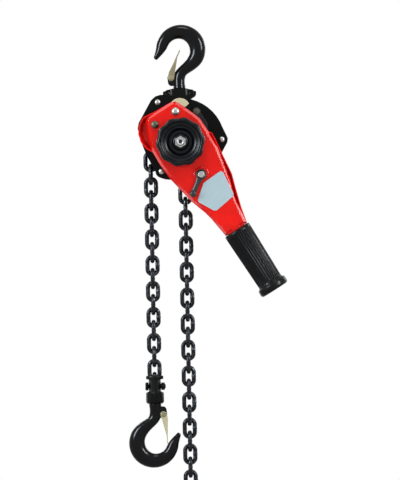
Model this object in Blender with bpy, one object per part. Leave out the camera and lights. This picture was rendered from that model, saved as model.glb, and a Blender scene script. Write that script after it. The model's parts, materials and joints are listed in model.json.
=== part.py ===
"""Ratchet lever chain hoist (a chain come-along), hanging free from its top hook.

World frame: origin at the saddle of the top hook, +X right, +Z up, the lever side faces -Y.
The frame is drawn upright about the sheave axis, as it hangs under load, and then leans on its
top pin by HANG_ANGLE, as it hangs with no load. Lengths are millimetres, angles are degrees;
one scale at the end of each mesh makes metres. A positive turn about Y is clockwise from the front.
"""

from math import atan2, cos, degrees, hypot, pi, radians, sin, tan

import bmesh
import bpy
from mathutils import Matrix, Vector
from mathutils.geometry import tessellate_polygon

MM = 0.001
GAP = 0.3            # between pieces that seat on one another
SMALL_ROUND = 8      # sides of a small round
ROUND = 20           # sides of a large round

# ---------------------------------------------------------------- chain
WIRE = 7.1
PITCH = 21.0
LINK_WIDTH = 23.4
WIRE_SIDES = 5
WIRE_FACET_RADIUS = 3.8
WRAP_TENSION = 0.9   # the wrapped links bear hard on one another
LINK_SEAT = 2 * WIRE_FACET_RADIUS - WIRE + GAP   # lift that parts two links
LOAD_LINKS = 18
SLACK_LINKS = 24
LOAD_LEAN = 4.9      # the runs inside the frame lean outwards by these
SLACK_LEAN = 2.5

# ---------------------------------------------------------------- hook
BOWL_RADIUS = 19.0
BACK_RADIUS = 40.4
BACK_OFFSET = (3.3, 2.4)
HOOK_FLATNESS = 0.8
SHANK_RADIUS = 10.0
NECK_RADIUS = 6.0
BUTTON_RADIUS = 9.5
SHOULDER_DROP = 80.6
NECK_LENGTH = 5.8
BUTTON_LENGTH = 6.2
LATCH_PIVOT = (-13.3, -63.5)
LATCH_LENGTH = 47.0
LATCH_HALF_WIDTH = 8.8
LATCH_SHEET = 1.6
LATCH_PIN_RADIUS = 2.0
LATCH_CLOSED = -5.5
TOP_LATCH_OPEN = 25.0

# ---------------------------------------------------------------- frame
HANG_ANGLE = 30.0
PIN_DROP = 113.5     # saddle to top pin
PIN_AT = (-27.7, 47.4)
PIN_RADIUS = 6.0
PIN_HEAD_RADIUS = 8.4
PLATE_INNER = 15.5
PLATE_THICK = 5.0
PLATE_OUTER = PLATE_INNER + PLATE_THICK
SHOULDER_ARC = 72.0
STAY_LEFT = (-64.0, 39.1)
STAY_RIGHT = (55.6, 36.7)
STAY_BOTTOM = (-4.5, -55.5)
STAY_RADIUS = 3.6
STAY_SHOULDER = 6.0
STAY_HEAD_RADIUS = 4.9
STAY_HEAD = 3.6
STAY_NUT_RADIUS = 6.2
STAY_NUT = 5.0
ROLLER_RADIUS = 6.0
ROLLER_PIN_RADIUS = 3.0
ROLLER_DROP = 8.0
ROLLER_CLEARANCE = 2.5
BEARING_RADIUS = 22.0
JOURNAL_RADIUS = 15.7

# ---------------------------------------------------------------- sheave
SHEAVE_POCKETS = 4
SHEAVE_PHASE = -2.3
SHEAVE_HALF = 15.0
FLANGE_RADIUS = 34.0
TOOTH_RADIUS = 26.5
POCKET_CLEARANCE = 0.5

# ---------------------------------------------------------------- gears
MODULE = 2.0
PINION_TEETH = 9
DISC_GEAR_TEETH = 25
DISC_PINION_TEETH = 10
LOAD_GEAR_TEETH = 24
GEAR_CENTRES = MODULE * (PINION_TEETH + DISC_GEAR_TEETH) / 2
LOAD_GEAR_Y = (22.3, 31.0)
DISC_GEAR_Y = (34.0, 40.0)
GEAR_JOURNAL_RADIUS = 4.0
SHAFT_RADIUS = 8.5
CASE_WALL = 2.2
CASE_RADIUS = 31.0
CASE_BACK = 46.5
CASE_FLANGE = 2.4
CASE_EAR = 9.0

# ---------------------------------------------------------------- brake
HUB_FLANGE_RADIUS = 30.0
HUB_FLANGE = 3.0
HUB_BOSS_RADIUS = 14.0
THREAD_RADIUS = 9.0
DISC_RADIUS = 32.0
DISC_THICK = 2.0
RATCHET_TEETH = 24
RATCHET_TIP = 40.0
RATCHET_ROOT = 35.5
RATCHET_THICK = 5.0
RATCHET_PHASE = 13.0
PAWL_PIVOT_ANGLE = 91.8
PAWL_TURNS = (0.0, -120.0)
PAWL_BOSS = 7.2
PAWL_PIN_RADIUS = 4.0
PAWL_PIN_HEAD = 1.8
PAWL_CLEARANCE = 2.9
COVER_RADIUS = 46.0
PAWL_PIVOT_RADIUS = COVER_RADIUS + PAWL_BOSS + PAWL_CLEARANCE
COVER_WALL = 1.6
COVER_FRONT = 41.5
COVER_COLLAR_RADIUS = 19.0
COVER_BORE = 17.6
EAR_RADIUS = 17.0
EAR_Y = (24.0, 26.2)

# ---------------------------------------------------------------- drive
DRIVE_FLANGE = 3.7
DRIVE_NECK_RADIUS = 17.0
DRIVE_TEETH = 12
DRIVE_TIP = 24.0
DRIVE_ROOT = 19.4
DRIVE_TEETH_Y = (48.0, 64.0)
DRIVE_HUB_RADIUS = 20.0
WHEEL_RADIUS = 39.6
WHEEL_LOBES = 10
WHEEL_LOBE_DEPTH = 0.045
WHEEL_BACK = 73.0
WHEEL_FRONT = 100.0
WHEEL_THREAD = 6.5
NUT_RADIUS = 9.3
NUT_THICK = 5.0

# ---------------------------------------------------------------- lever
LEVER_ANGLE = -61.6  # from straight down in the upright frame
LEVER_WALL = 2.0
LEVER_REAR = 43.0
LEVER_SEAM = 56.0
LEVER_FRONT = 70.0
LEVER_BEND = 4.5
LEVER_TAIL = 12.0
LEVER_TAIL_END = 255.0
GRIP_START = 166.5
GRIP_END = 281.0
GRIP_FLUTES = 12
LEVER_BOLT_AT = (45.7, 19.6)
LEVER_BOLT_RADIUS = 3.1
SELECTOR_REACH = 61.5
SELECTOR_ARM = 34.0
SELECTOR_REST = 55.6
SELECTOR_SHAFT_RADIUS = 5.0
CHANGE_PAWL_SWING = 12.0
LABEL_THICK = 0.8

# ---------------------------------------------------------------- bottom yoke
BOLT_RADIUS = 3.8
YOKE_DROP = 28.0     # chain bolt to the foot of the yoke
YOKE_HALF = 14.6
YOKE_ROCK = 6.0      # room to rock on the chain bolt, each way


# ================================================================ plain geometry
def polar(radius, angle, centre=(0.0, 0.0)):
    """Point at a radius and an angle (from +X towards +Z) about a centre, as (x, z)."""
    return centre[0] + radius * cos(radians(angle)), centre[1] + radius * sin(radians(angle))


def arc(radius, start, end, steps, centre=(0.0, 0.0)):
    """Points along an arc, both ends included."""
    return [polar(radius, start + (end - start) * i / steps, centre) for i in range(steps + 1)]


def circle(radius, sides, centre=(0.0, 0.0), phase=0.0):
    """Points of a full circle."""
    return [polar(radius, phase + 360.0 * i / sides, centre) for i in range(sides)]


def turned_point(point, angle):
    """A point turned clockwise (as seen from the front) about the origin."""
    x, z = point
    c, s = cos(radians(angle)), sin(radians(angle))
    return x * c + z * s, -x * s + z * c


def inset(outline, distance):
    """The outline moved inwards by a distance, corner by corner."""
    count = len(outline)
    area = sum(outline[i - 1][0] * outline[i][1] - outline[i][0] * outline[i - 1][1] for i in range(count))
    side = 1.0 if area > 0 else -1.0
    moved = []
    for i in range(count):
        before = Vector(outline[i]) - Vector(outline[i - 1])
        after = Vector(outline[(i + 1) % count]) - Vector(outline[i])
        normals = [Vector((-edge.y, edge.x)).normalized() * side for edge in (before, after)]
        middle = (normals[0] + normals[1]).normalized()
        reach = distance / max(middle.dot(normals[0]), 0.5)
        moved.append(tuple(Vector(outline[i]) + middle * reach))
    return moved


def mirrored(right_side):
    """A closed outline from its right side, given top to bottom."""
    return list(right_side) + [(-x, z) for x, z in reversed(right_side)]


def gear_outline(teeth, module, phase=0.0):
    """Straight-flanked teeth, thin enough to run with backlash."""
    pitch_radius = teeth * module / 2
    root, tip = pitch_radius - 1.3 * module, pitch_radius + 0.8 * module
    step = 360.0 / teeth
    points = []
    for tooth in range(teeth):
        middle = phase + tooth * step
        for radius, share in ((tip, -0.06), (tip, 0.06), (root, 0.50)):
            points.append(polar(radius, middle + share * step))
    return points


# ================================================================ solids
def prism(outline, y0, y1, holes=()):
    """An outline in x and z, with holes, pushed from y0 to y1."""
    loops = [list(outline), *[list(hole) for hole in holes]]
    flat = [point for loop in loops for point in loop]
    triangles = tessellate_polygon([[Vector((x, z, 0.0)) for x, z in loop] for loop in loops])
    bm = bmesh.new()
    near = [bm.verts.new((x, y0, z)) for x, z in flat]
    far = [bm.verts.new((x, y1, z)) for x, z in flat]
    for a, b, c in triangles:
        bm.faces.new((near[a], near[b], near[c]))
        bm.faces.new((far[c], far[b], far[a]))
    start = 0
    for loop in loops:
        count = len(loop)
        for i in range(count):
            a, b = start + i, start + (i + 1) % count
            bm.faces.new((near[a], near[b], far[b], far[a]))
        start += count
    bmesh.ops.recalc_face_normals(bm, faces=bm.faces)
    return bm


def skin(rings, closed=False):
    """A solid through rings of equally many points. A ring of one point is a pole."""
    bm = bmesh.new()
    rows = [[bm.verts.new(point) for point in ring] for ring in rings]
    pairs = list(zip(rows, rows[1:]))
    if closed:
        pairs.append((rows[-1], rows[0]))
    for one, two in pairs:
        count = max(len(one), len(two))
        for i in range(count):
            j = (i + 1) % count
            if len(one) == 1:
                bm.faces.new((one[0], two[i], two[j]))
            elif len(two) == 1:
                bm.faces.new((one[i], one[j], two[0]))
            else:
                bm.faces.new((one[i], one[j], two[j], two[i]))
    if not closed:
        for row in (rows[0], rows[-1]):
            if len(row) > 2:
                bm.faces.new(row)
    bmesh.ops.recalc_face_normals(bm, faces=bm.faces)
    return bm


def lathe(profile, sides=ROUND, closed=False, phase=0.0):
    """A profile of (radius, y) turned about Y. A closed profile makes a ring."""
    rings = []
    for radius, y in profile:
        if radius <= 0:
            rings.append([(0.0, y, 0.0)])
        else:
            rings.append([(x, y, z) for x, z in circle(radius, sides, phase=phase)])
    return skin(rings, closed)


def cylinder(radius, y0, y1, sides=SMALL_ROUND, centre=(0.0, 0.0), phase=0.0):
    """A round bar along Y."""
    return prism(circle(radius, sides, centre, phase), y0, y1)


def ring(outer, inner, y0, y1, sides=ROUND):
    """A plain ring about Y."""
    return lathe([(outer, y0), (outer, y1), (inner, y1), (inner, y0)], sides, closed=True)


def upright(bm):
    """Stand a solid made about Y on Z: its +y becomes +z."""
    bmesh.ops.rotate(bm, verts=bm.verts, matrix=Matrix.Rotation(pi / 2, 3, "X"))
    return bm


def across(bm):
    """Lay a solid made about Y along X: its +y becomes -x, its x becomes y."""
    bmesh.ops.rotate(bm, verts=bm.verts, matrix=Matrix.Rotation(pi / 2, 3, "Z"))
    return bm


def moved(bm, x=0.0, y=0.0, z=0.0):
    """Shift a solid."""
    bmesh.ops.translate(bm, verts=bm.verts, vec=(x, y, z))
    return bm


def tray(outline, y_rim, y_face, bend, wall):
    """A pressed shell: a flat face, walls that lean out to the rim, open at the rim."""
    inward = 1.0 if y_rim > y_face else -1.0
    def level(points, y):
        return [(x, y, z) for x, z in points]
    face_in = y_face + inward * wall
    rings = [
        level(inset(outline, bend), y_face),
        level(outline, y_rim),
        level(inset(outline, wall), y_rim),
        level(inset(outline, bend + wall), face_in),
    ]
    return skin(rings)


# ================================================================ objects
def finish(name, colour, roughness, metallic):
    """A painted, plated or moulded surface."""
    made = bpy.data.materials.new(name)
    made.use_nodes = True
    shader = made.node_tree.nodes["Principled BSDF"]
    shader.inputs["Base Color"].default_value = (*colour, 1.0)
    shader.inputs["Roughness"].default_value = roughness
    shader.inputs["Metallic"].default_value = metallic
    made.diffuse_color = (*colour, 1.0)
    return made


def place(name, parent=None, at=(0.0, 0.0, 0.0), turn=0.0):
    """An empty on a joint's axis."""
    empty = bpy.data.objects.new(name, None)
    bpy.context.collection.objects.link(empty)
    empty.parent = parent
    empty.location = [value * MM for value in at]
    empty.rotation_euler = (0.0, radians(turn), 0.0)
    return empty


def mesh_object(name, bm):
    """A mesh object in metres, from a solid drawn in millimetres."""
    bmesh.ops.scale(bm, verts=bm.verts, vec=(MM, MM, MM))
    mesh = bpy.data.meshes.new(name)
    bm.to_mesh(mesh)
    bm.free()
    made = bpy.data.objects.new(name, mesh)
    bpy.context.collection.objects.link(made)
    return made


def piece(name, bm, surface, parent=None, joins=(), cuts=()):
    """One named sub-part; joins are fused to it, then cuts are taken out of it."""
    made = mesh_object(name, bm)
    made.parent = parent
    made.data.materials.append(surface)
    for kind, tools in (("UNION", joins), ("DIFFERENCE", cuts)):
        for number, tool in enumerate(tools):
            helper = mesh_object(f"{name}_{kind.lower()}_{number}", tool)
            helper.parent = parent
            helper.hide_render = True
            helper.display_type = "WIRE"
            step = made.modifiers.new(helper.name, "BOOLEAN")
            step.operation = kind
            step.solver = "EXACT"
            step.object = helper
    made.data.shade_smooth()
    made.data.set_sharp_from_angle(angle=radians(35))
    return made


# ================================================================ hooks and latches
def hook_section(inner, outer, flatness, swell=0.15):
    """One section of the forging, wider on the inside of the bend by its swell."""
    centre = ((inner[0] + outer[0]) / 2, (inner[1] + outer[1]) / 2)
    half = hypot(outer[0] - inner[0], outer[1] - inner[1]) / 2
    along = ((outer[0] - inner[0]) / (2 * half), (outer[1] - inner[1]) / (2 * half))
    points = []
    for i in range(SMALL_ROUND):
        angle = 2 * pi * i / SMALL_ROUND
        reach = half * cos(angle)
        width = half * flatness * sin(angle) * (1 - swell * cos(angle))
        points.append((centre[0] + along[0] * reach, width, centre[1] + along[1] * reach))
    return points


def bowl_section(angle):
    """Inner and outer edge of the bowl at an angle about its centre."""
    centre = (0.0, -BOWL_RADIUS)
    along = (cos(radians(angle)), sin(radians(angle)))
    offset = along[0] * BACK_OFFSET[0] + along[1] * BACK_OFFSET[1]
    reach = offset + (offset**2 - BACK_OFFSET[0]**2 - BACK_OFFSET[1]**2 + BACK_RADIUS**2) ** 0.5
    return polar(BOWL_RADIUS, angle, centre), polar(reach, angle, centre)


def hook_solid():
    """The forging, saddle at the origin, shank and button below."""
    shoulder = -SHOULDER_DROP
    neck = shoulder - NECK_LENGTH
    foot = neck - BUTTON_LENGTH
    rounds = [(foot, BUTTON_RADIUS * 0.9), (foot + 1.0, BUTTON_RADIUS), (neck, BUTTON_RADIUS),
              (neck + 0.1, NECK_RADIUS), (shoulder - 0.1, NECK_RADIUS), (shoulder, SHANK_RADIUS)]
    rings = [hook_section((-radius, z), (radius, z), 1.0, 0.0) for z, radius in rounds]
    shank = [((-9.4, -68.0), (8.8, -68.0), 0.9), ((-9.0, -60.0), (9.8, -60.0), 0.87),
             ((-6.0, -51.5), (14.5, -56.5), 0.8), ((4.0, -42.5), (24.5, -51.0), 0.78),
             ((12.0, -35.2), (33.0, -43.4), 0.78)]
    rings += [hook_section(*section) for section in shank]
    bowl_start, bowl_end, steps = -25.0, 165.0, 9
    for i in range(steps + 1):
        inner, outer = bowl_section(bowl_start + (bowl_end - bowl_start) * i / steps)
        rings.append(hook_section(inner, outer, HOOK_FLATNESS))
    tip = [((-20.6, -20.4), (-35.8, -17.2), 0.82), ((-28.4, -27.8), (-38.0, -24.5), 0.85),
           ((-33.6, -32.8), (-39.4, -30.2), 0.9)]
    rings += [hook_section(*section) for section in tip]
    return skin(rings)


def hook_tab():
    """The tab beside the shank that carries the latch pin."""
    half = 4.8
    x, z = LATCH_PIVOT
    outline = arc(half, 90.0, 270.0, 6, LATCH_PIVOT) + [(0.0, z - half), (0.0, z + half)]
    return prism(outline, -6.9, 6.9)


def latch_solid():
    """The web of the pressed latch, pivot at the origin, blade up."""
    foot, top = -6.4, -1.6
    start = 8.0
    lean = (top - foot) / LATCH_LENGTH
    low = foot + lean * start
    web = [(low, start), (low + LATCH_SHEET, start), (top + LATCH_SHEET, LATCH_LENGTH),
           (top, LATCH_LENGTH)]
    return prism(web, -LATCH_HALF_WIDTH, LATCH_HALF_WIDTH)


def latch_cheek(side):
    """One side of the pressed latch, from the pin eye up the blade."""
    eye = 5.2
    outline = arc(eye, 180.0, 360.0, 6) + [(3.4, 9.0), (-0.9, 34.0), (-1.8, 38.0), (-6.2, 8.0)]
    near, far = sorted((side * (LATCH_HALF_WIDTH - LATCH_SHEET), side * LATCH_HALF_WIDTH))
    return prism(outline, near, far)


def hook_set(prefix, pivot, latch_turn, steel, zinc):
    """A hook with its latch and latch pin under an empty at its saddle."""
    x, z = LATCH_PIVOT
    reach = LATCH_HALF_WIDTH + 1.6
    piece(f"{prefix}_hook", hook_solid(), steel, pivot, joins=[hook_tab()],
          cuts=[cylinder(LATCH_PIN_RADIUS + GAP, -reach, reach, centre=LATCH_PIVOT)])
    hinge = place(f"{prefix}_latch_hinge", pivot, (x, 0.0, z), latch_turn)
    piece(f"{prefix}_latch", latch_solid(), zinc, hinge, joins=[latch_cheek(-1), latch_cheek(1)],
          cuts=[cylinder(LATCH_PIN_RADIUS + GAP, -reach, reach)])
    head = LATCH_PIN_RADIUS + 1.4
    pin = [(0.0, -reach), (head, -reach), (head, -LATCH_HALF_WIDTH - GAP),
           (LATCH_PIN_RADIUS, -LATCH_HALF_WIDTH - GAP), (LATCH_PIN_RADIUS, LATCH_HALF_WIDTH + GAP),
           (head, LATCH_HALF_WIDTH + GAP), (head, reach), (0.0, reach)]
    piece(f"{prefix}_latch_pin", lathe(pin, SMALL_ROUND), zinc,
          place(f"{prefix}_latch_pin_seat", pivot, (x, 0.0, z)))


# ================================================================ chain
def link_solid(centre, direction, standing):
    """One welded link about a centre, long way along a direction in x and z."""
    crown = (LINK_WIDTH - WIRE) / 2
    straight = (PITCH + WIRE) / 2 - crown * cos(pi / 6)
    path = [(crown * cos(a), straight + crown * sin(a)) for a in (pi * i / 3 for i in range(4))]
    path += [(-x, -z) for x, z in path]
    count = len(path)
    along = Vector((direction[0], 0.0, direction[1])).normalized()
    outward = Vector((0.0, 1.0, 0.0))
    if standing:
        outward = along.cross(outward)
    third = along.cross(outward)
    rings = []
    for i, (x, z) in enumerate(path):
        before, after = Vector(path[i - 1]), Vector(path[(i + 1) % count])
        tangent = (after - before).normalized()
        normal = Vector((tangent.y, -tangent.x))
        points = []
        for k in range(WIRE_SIDES):
            angle = pi + 2 * pi * k / WIRE_SIDES
            place_2d = Vector((x, z)) + normal * WIRE_FACET_RADIUS * cos(angle)
            point = outward * place_2d.x + along * place_2d.y + third * WIRE_FACET_RADIUS * sin(angle)
            points.append(point + Vector((centre[0], 0.0, centre[1])))
        rings.append(points)
    return skin(rings, closed=True)


def gathered(solids):
    """Several solids in one mesh, still separate."""
    whole = bmesh.new()
    for solid in solids:
        mesh = bpy.data.meshes.new("gathered")
        solid.to_mesh(mesh)
        solid.free()
        whole.from_mesh(mesh)
        bpy.data.meshes.remove(mesh)
    return whole


def chain_piece(name, links, surface, parent):
    """A run of links (centre, direction, standing), fused where each bears on the next."""
    solids = [link_solid(*link) for link in links]
    return piece(name, gathered(solids[0::2]), surface, parent, joins=[gathered(solids[1::2])])


def hanging_links(first_centre, count, first_standing):
    """Links one below another, from a first centre's height."""
    return [((0.0, first_centre - PITCH * i), (0.0, -1.0), first_standing == (i % 2 == 0))
            for i in range(count)]


def wrap_radii():
    """Half angles and centre radii of lying and standing links on the sheave."""
    lying = (PITCH + WIRE) / 2
    standing = (PITCH - WIRE) / 2
    share = 180.0 / SHEAVE_POCKETS
    half_lying = degrees(atan2(lying * sin(radians(share)), standing + lying * cos(radians(share))))
    radius = lying / sin(radians(half_lying))
    half_standing = share - half_lying
    return radius, half_lying, half_standing


PITCH_RADIUS, LYING_HALF, STANDING_HALF = wrap_radii()
LYING_CENTRE = PITCH_RADIUS * cos(radians(LYING_HALF)) + WRAP_TENSION
STANDING_CENTRE = PITCH_RADIUS * cos(radians(STANDING_HALF)) + WRAP_TENSION
LOAD_TANGENT = polar(PITCH_RADIUS, 157.5 + SHEAVE_PHASE + LYING_HALF)
SLACK_TANGENT = polar(PITCH_RADIUS, 22.5 + SHEAVE_PHASE - STANDING_HALF)
LOAD_RUN_DIRECTION = polar(1.0, -90.0 - LOAD_LEAN)
SLACK_RUN_DIRECTION = polar(1.0, -90.0 + SLACK_LEAN)
LOAD_EXIT = (LOAD_TANGENT[0] + 2 * PITCH * LOAD_RUN_DIRECTION[0],
             LOAD_TANGENT[1] + 2 * PITCH * LOAD_RUN_DIRECTION[1])
SLACK_EXIT = (SLACK_TANGENT[0] + 2 * PITCH * SLACK_RUN_DIRECTION[0],
              SLACK_TANGENT[1] + 2 * PITCH * SLACK_RUN_DIRECTION[1])


def wrapped_links():
    """Links over the sheave and down to both exits, in order."""
    lying, standing = (PITCH + WIRE) / 2, (PITCH - WIRE) / 2
    def along(start, direction, distance):
        return start[0] + direction[0] * distance, start[1] + direction[1] * distance
    links = [(along(LOAD_TANGENT, LOAD_RUN_DIRECTION, 2 * standing + lying), LOAD_RUN_DIRECTION, False),
             (along(LOAD_TANGENT, LOAD_RUN_DIRECTION, standing), LOAD_RUN_DIRECTION, True)]
    for i in range(4):
        angle = 157.5 - 45.0 * i + SHEAVE_PHASE
        is_standing = i % 2 == 1
        radius = STANDING_CENTRE if is_standing else LYING_CENTRE
        links.append((polar(radius, angle), polar(1.0, angle - 90.0), is_standing))
    links += [(along(SLACK_TANGENT, SLACK_RUN_DIRECTION, lying), SLACK_RUN_DIRECTION, False),
              (along(SLACK_TANGENT, SLACK_RUN_DIRECTION, 2 * lying + standing), SLACK_RUN_DIRECTION, True)]
    return links


# ================================================================ sub-assemblies
def top_yoke(pivot, steel, bright):
    """Two forged halves that hold the button and hang on the top pin."""
    top = -SHOULDER_DROP - GAP
    ear, rivet_x, rivet_z = 7.7, 19.3, -88.6
    lug = 13.5
    right = [(11.8, top), (14.2, top - 0.6)]
    right += arc(ear, 75.0, -70.0, 6, (rivet_x, rivet_z))
    right += [(13.0, -100.5)] + arc(lug, 18.0, -72.0, 4, (0.0, -PIN_DROP))
    outline = mirrored(right)
    depth = PLATE_INNER - 0.6
    neck = -SHOULDER_DROP - NECK_LENGTH
    bore, chamber = NECK_RADIUS + GAP, BUTTON_RADIUS + 2 * GAP
    pocket = [(0.0, top + 2.0), (bore, top + 2.0), (bore, neck + GAP),
              (chamber, neck + GAP), (chamber, neck - BUTTON_LENGTH - GAP),
              (0.0, neck - BUTTON_LENGTH - GAP)]
    rivet_holes = [cylinder(3.0 + GAP, -depth - 2, depth + 2, centre=(side * rivet_x, rivet_z))
                   for side in (-1, 1)]
    for name, y0, y1 in (("top_yoke_front", -depth, -GAP / 2), ("top_yoke_rear", GAP / 2, depth)):
        piece(name, prism(outline, y0, y1), steel, pivot, cuts=[
            upright(lathe(pocket, 12)),
            cylinder(PIN_RADIUS + GAP, -depth - 2, depth + 2, 12, (0.0, -PIN_DROP)),
            *[hole.copy() for hole in rivet_holes]])
    for name, side in (("top_yoke_rivet_left", -1), ("top_yoke_rivet_right", 1)):
        body = [(0.0, -depth), (2.4, -depth), (3.0, -depth + 0.6), (3.0, depth - 0.6), (2.4, depth), (0.0, depth)]
        piece(name, moved(lathe(body, SMALL_ROUND), side * rivet_x, 0.0, rivet_z), bright, pivot)


def plate_outline():
    """The black side plate in the upright frame."""
    outline = arc(SHOULDER_ARC, 105.5, 49.0, 7)
    outline += [(58.6, 46.5), (63.2, 43.0), (65.4, 37.5), (65.8, 19.5), (66.0, -4.0),
                polar(PAWL_PIVOT_RADIUS + 9.91704, -21.317912), polar(PAWL_PIVOT_RADIUS + 8.56065, -31.723603),
                (30.0, -53.0), (6.5, -63.5)]
    outline += arc(10.0, -75.0, -150.0, 3, STAY_BOTTOM)
    outline += [(-37.6, -44.8), (-50.3, -34.8), (-71.5, -14.0), (-74.6, -5.0), (-74.9, 36.5), (-72.1, 45.2),
                (-66.5, 51.3), (-61.5, 54.4)]
    return outline


def side_plates(pivot, surface):
    """Front and rear plates, bored for pins, stays and bearings."""
    roller_x = roller_centre()
    shared = [circle(STAY_RADIUS + GAP, 8, stay) for stay in (STAY_LEFT, STAY_RIGHT, STAY_BOTTOM)]
    shared += [circle(ROLLER_PIN_RADIUS + GAP, 8, (side * roller_x, -ROLLER_DROP)) for side in (-1, 1)]
    shared += [circle(PIN_RADIUS + GAP, 12, PIN_AT), circle(BEARING_RADIUS + GAP, ROUND)]
    pawl_holes = [circle(PAWL_PIN_RADIUS + GAP, 8, pawl_pivot(turn)) for turn in PAWL_TURNS]
    gear_holes = [circle(GEAR_JOURNAL_RADIUS + GAP, 12, (side * GEAR_CENTRES, 0.0)) for side in (-1, 1)]
    outline = plate_outline()
    piece("front_side_plate", prism(outline, -PLATE_OUTER, -PLATE_INNER, shared + pawl_holes), surface, pivot)
    piece("rear_side_plate", prism(outline, PLATE_INNER, PLATE_OUTER, shared + gear_holes), surface, pivot)


def roller_centre():
    """Distance of a guide roller from the sheave axis, clear of the run beside it."""
    return PITCH_RADIUS + LINK_WIDTH / 2 + ROLLER_CLEARANCE + ROLLER_RADIUS


def pawl_pivot(turn):
    """Centre of a brake pawl's pin."""
    return polar(PAWL_PIVOT_RADIUS, PAWL_PIVOT_ANGLE + turn)


def stays(pivot, bright, dark):
    """Shouldered bolts that hold the plates and the gear case together."""
    seat = PLATE_INNER - GAP
    case_face = PLATE_OUTER + GAP + CASE_FLANGE + GAP
    for name, at, shoulder in (("stay_bolt_left", STAY_LEFT, STAY_SHOULDER),
                               ("stay_bolt_right", STAY_RIGHT, STAY_SHOULDER),
                               ("stay_bolt_bottom", STAY_BOTTOM, STAY_RADIUS)):
        front = -PLATE_OUTER - GAP
        profile = [(0.0, front - STAY_HEAD), (STAY_HEAD_RADIUS - 0.8, front - STAY_HEAD),
                   (STAY_HEAD_RADIUS, front - STAY_HEAD + 0.8), (STAY_HEAD_RADIUS, front),
                   (STAY_RADIUS, front)]
        if shoulder > STAY_RADIUS:
            profile += [(STAY_RADIUS, -seat), (shoulder, -seat), (shoulder, seat), (STAY_RADIUS, seat)]
        profile += [(STAY_RADIUS, case_face), (STAY_NUT_RADIUS, case_face),
                    (STAY_NUT_RADIUS, case_face + STAY_NUT), (0.0, case_face + STAY_NUT)]
        piece(name, moved(lathe(profile, SMALL_ROUND), at[0], 0.0, at[1]), bright, pivot)
    outline = arc(FLANGE_RADIUS + 2.5, -116.0, -66.0, 6)
    outline += [(15.0, -42.0), (7.0, -57.0)] + arc(5.1, -60.0, -200.0, 5, STAY_BOTTOM) + [(-14.6, -47.0)]
    hole = circle(STAY_RADIUS + GAP, 12, STAY_BOTTOM)
    piece("chain_stripper", prism(outline, -seat, seat, [hole]), dark, pivot)


def guide_rollers(pivot, dark, bright):
    """Rollers outside each run, on pins between the plates."""
    half = PLATE_INNER - 0.5
    for name, side in (("load", -1), ("slack", 1)):
        centre = place(f"guide_{name}_axis", pivot, (side * roller_centre(), 0.0, -ROLLER_DROP))
        waist = ROLLER_RADIUS - 1.2
        profile = [(ROLLER_RADIUS, -half), (ROLLER_RADIUS, -6.0), (waist, -4.5), (waist, 4.5),
                   (ROLLER_RADIUS, 6.0), (ROLLER_RADIUS, half), (ROLLER_PIN_RADIUS + GAP, half),
                   (ROLLER_PIN_RADIUS + GAP, -half)]
        piece(f"guide_roller_{name}", lathe(profile, SMALL_ROUND, closed=True), dark, centre)
        end = PLATE_OUTER
        piece(f"guide_pin_{name}", lathe([(0.0, -end), (ROLLER_PIN_RADIUS, -end), (ROLLER_PIN_RADIUS, end),
                                          (0.0, end)], SMALL_ROUND), bright, centre)


def top_pin(pivot, bright):
    """Headed pin through both plates and the top yoke."""
    front, rear = PLATE_OUTER + GAP, PLATE_OUTER + GAP
    head, radius = 2.4, PIN_HEAD_RADIUS
    profile = [(0.0, -front - head), (radius, -front - head), (radius, -front), (PIN_RADIUS, -front),
               (PIN_RADIUS, rear), (radius - 1.0, rear), (radius - 1.0, rear + head), (0.0, rear + head)]
    piece("top_pin", lathe(profile, 12), bright, pivot)


def sheave(pivot, iron, steel):
    """Pocketed load sheave, its bearings and the load gear on its rear journal."""
    bore = SHAFT_RADIUS + 0.4
    root = STANDING_CENTRE - LINK_WIDTH / 2 - POCKET_CLEARANCE
    groove = WIRE_FACET_RADIUS + POCKET_CLEARANCE
    cheek = LINK_WIDTH / 2 + POCKET_CLEARANCE
    gear_seat = 13.0
    end = LOAD_GEAR_Y[1] + 0.5
    profile = [(bore, -PLATE_OUTER), (JOURNAL_RADIUS, -PLATE_OUTER), (JOURNAL_RADIUS, -SHEAVE_HALF),
               (FLANGE_RADIUS, -SHEAVE_HALF), (FLANGE_RADIUS, -cheek), (TOOTH_RADIUS, -cheek),
               (TOOTH_RADIUS, -groove), (root, -groove), (root, groove), (TOOTH_RADIUS, groove),
               (TOOTH_RADIUS, cheek), (FLANGE_RADIUS, cheek), (FLANGE_RADIUS, SHEAVE_HALF),
               (JOURNAL_RADIUS, SHEAVE_HALF), (JOURNAL_RADIUS, PLATE_OUTER), (gear_seat, PLATE_OUTER),
               (gear_seat, end), (bore, end)]
    floor = LYING_CENTRE - WIRE_FACET_RADIUS - POCKET_CLEARANCE
    half_length = (PITCH + WIRE) / 2 + WIRE / 2 + POCKET_CLEARANCE
    pockets = []
    for i in range(SHEAVE_POCKETS):
        angle = 157.5 + SHEAVE_PHASE + 360.0 / SHEAVE_POCKETS * i
        corners = [(floor, -half_length), (FLANGE_RADIUS + 6, -half_length),
                   (FLANGE_RADIUS + 6, half_length), (floor, half_length)]
        pockets.append(prism([turned_point(corner, -angle) for corner in corners], -cheek, cheek))
    piece("load_sheave", lathe(profile, ROUND, closed=True), iron, pivot, cuts=pockets)
    outline = gear_outline(LOAD_GEAR_TEETH, MODULE)
    piece("load_gear", prism(outline, *LOAD_GEAR_Y, [circle(gear_seat + GAP, 20)]), steel, pivot)


def sheave_bearings(pivot, steel):
    """Bearing rings pressed into the plates."""
    for name, side in (("sheave_bearing_front", -1), ("sheave_bearing_rear", 1)):
        y0, y1 = sorted((side * (PLATE_INNER + 0.1), side * (PLATE_OUTER - 0.1)))
        piece(name, ring(BEARING_RADIUS, JOURNAL_RADIUS + GAP, y0, y1), steel, pivot)


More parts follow.
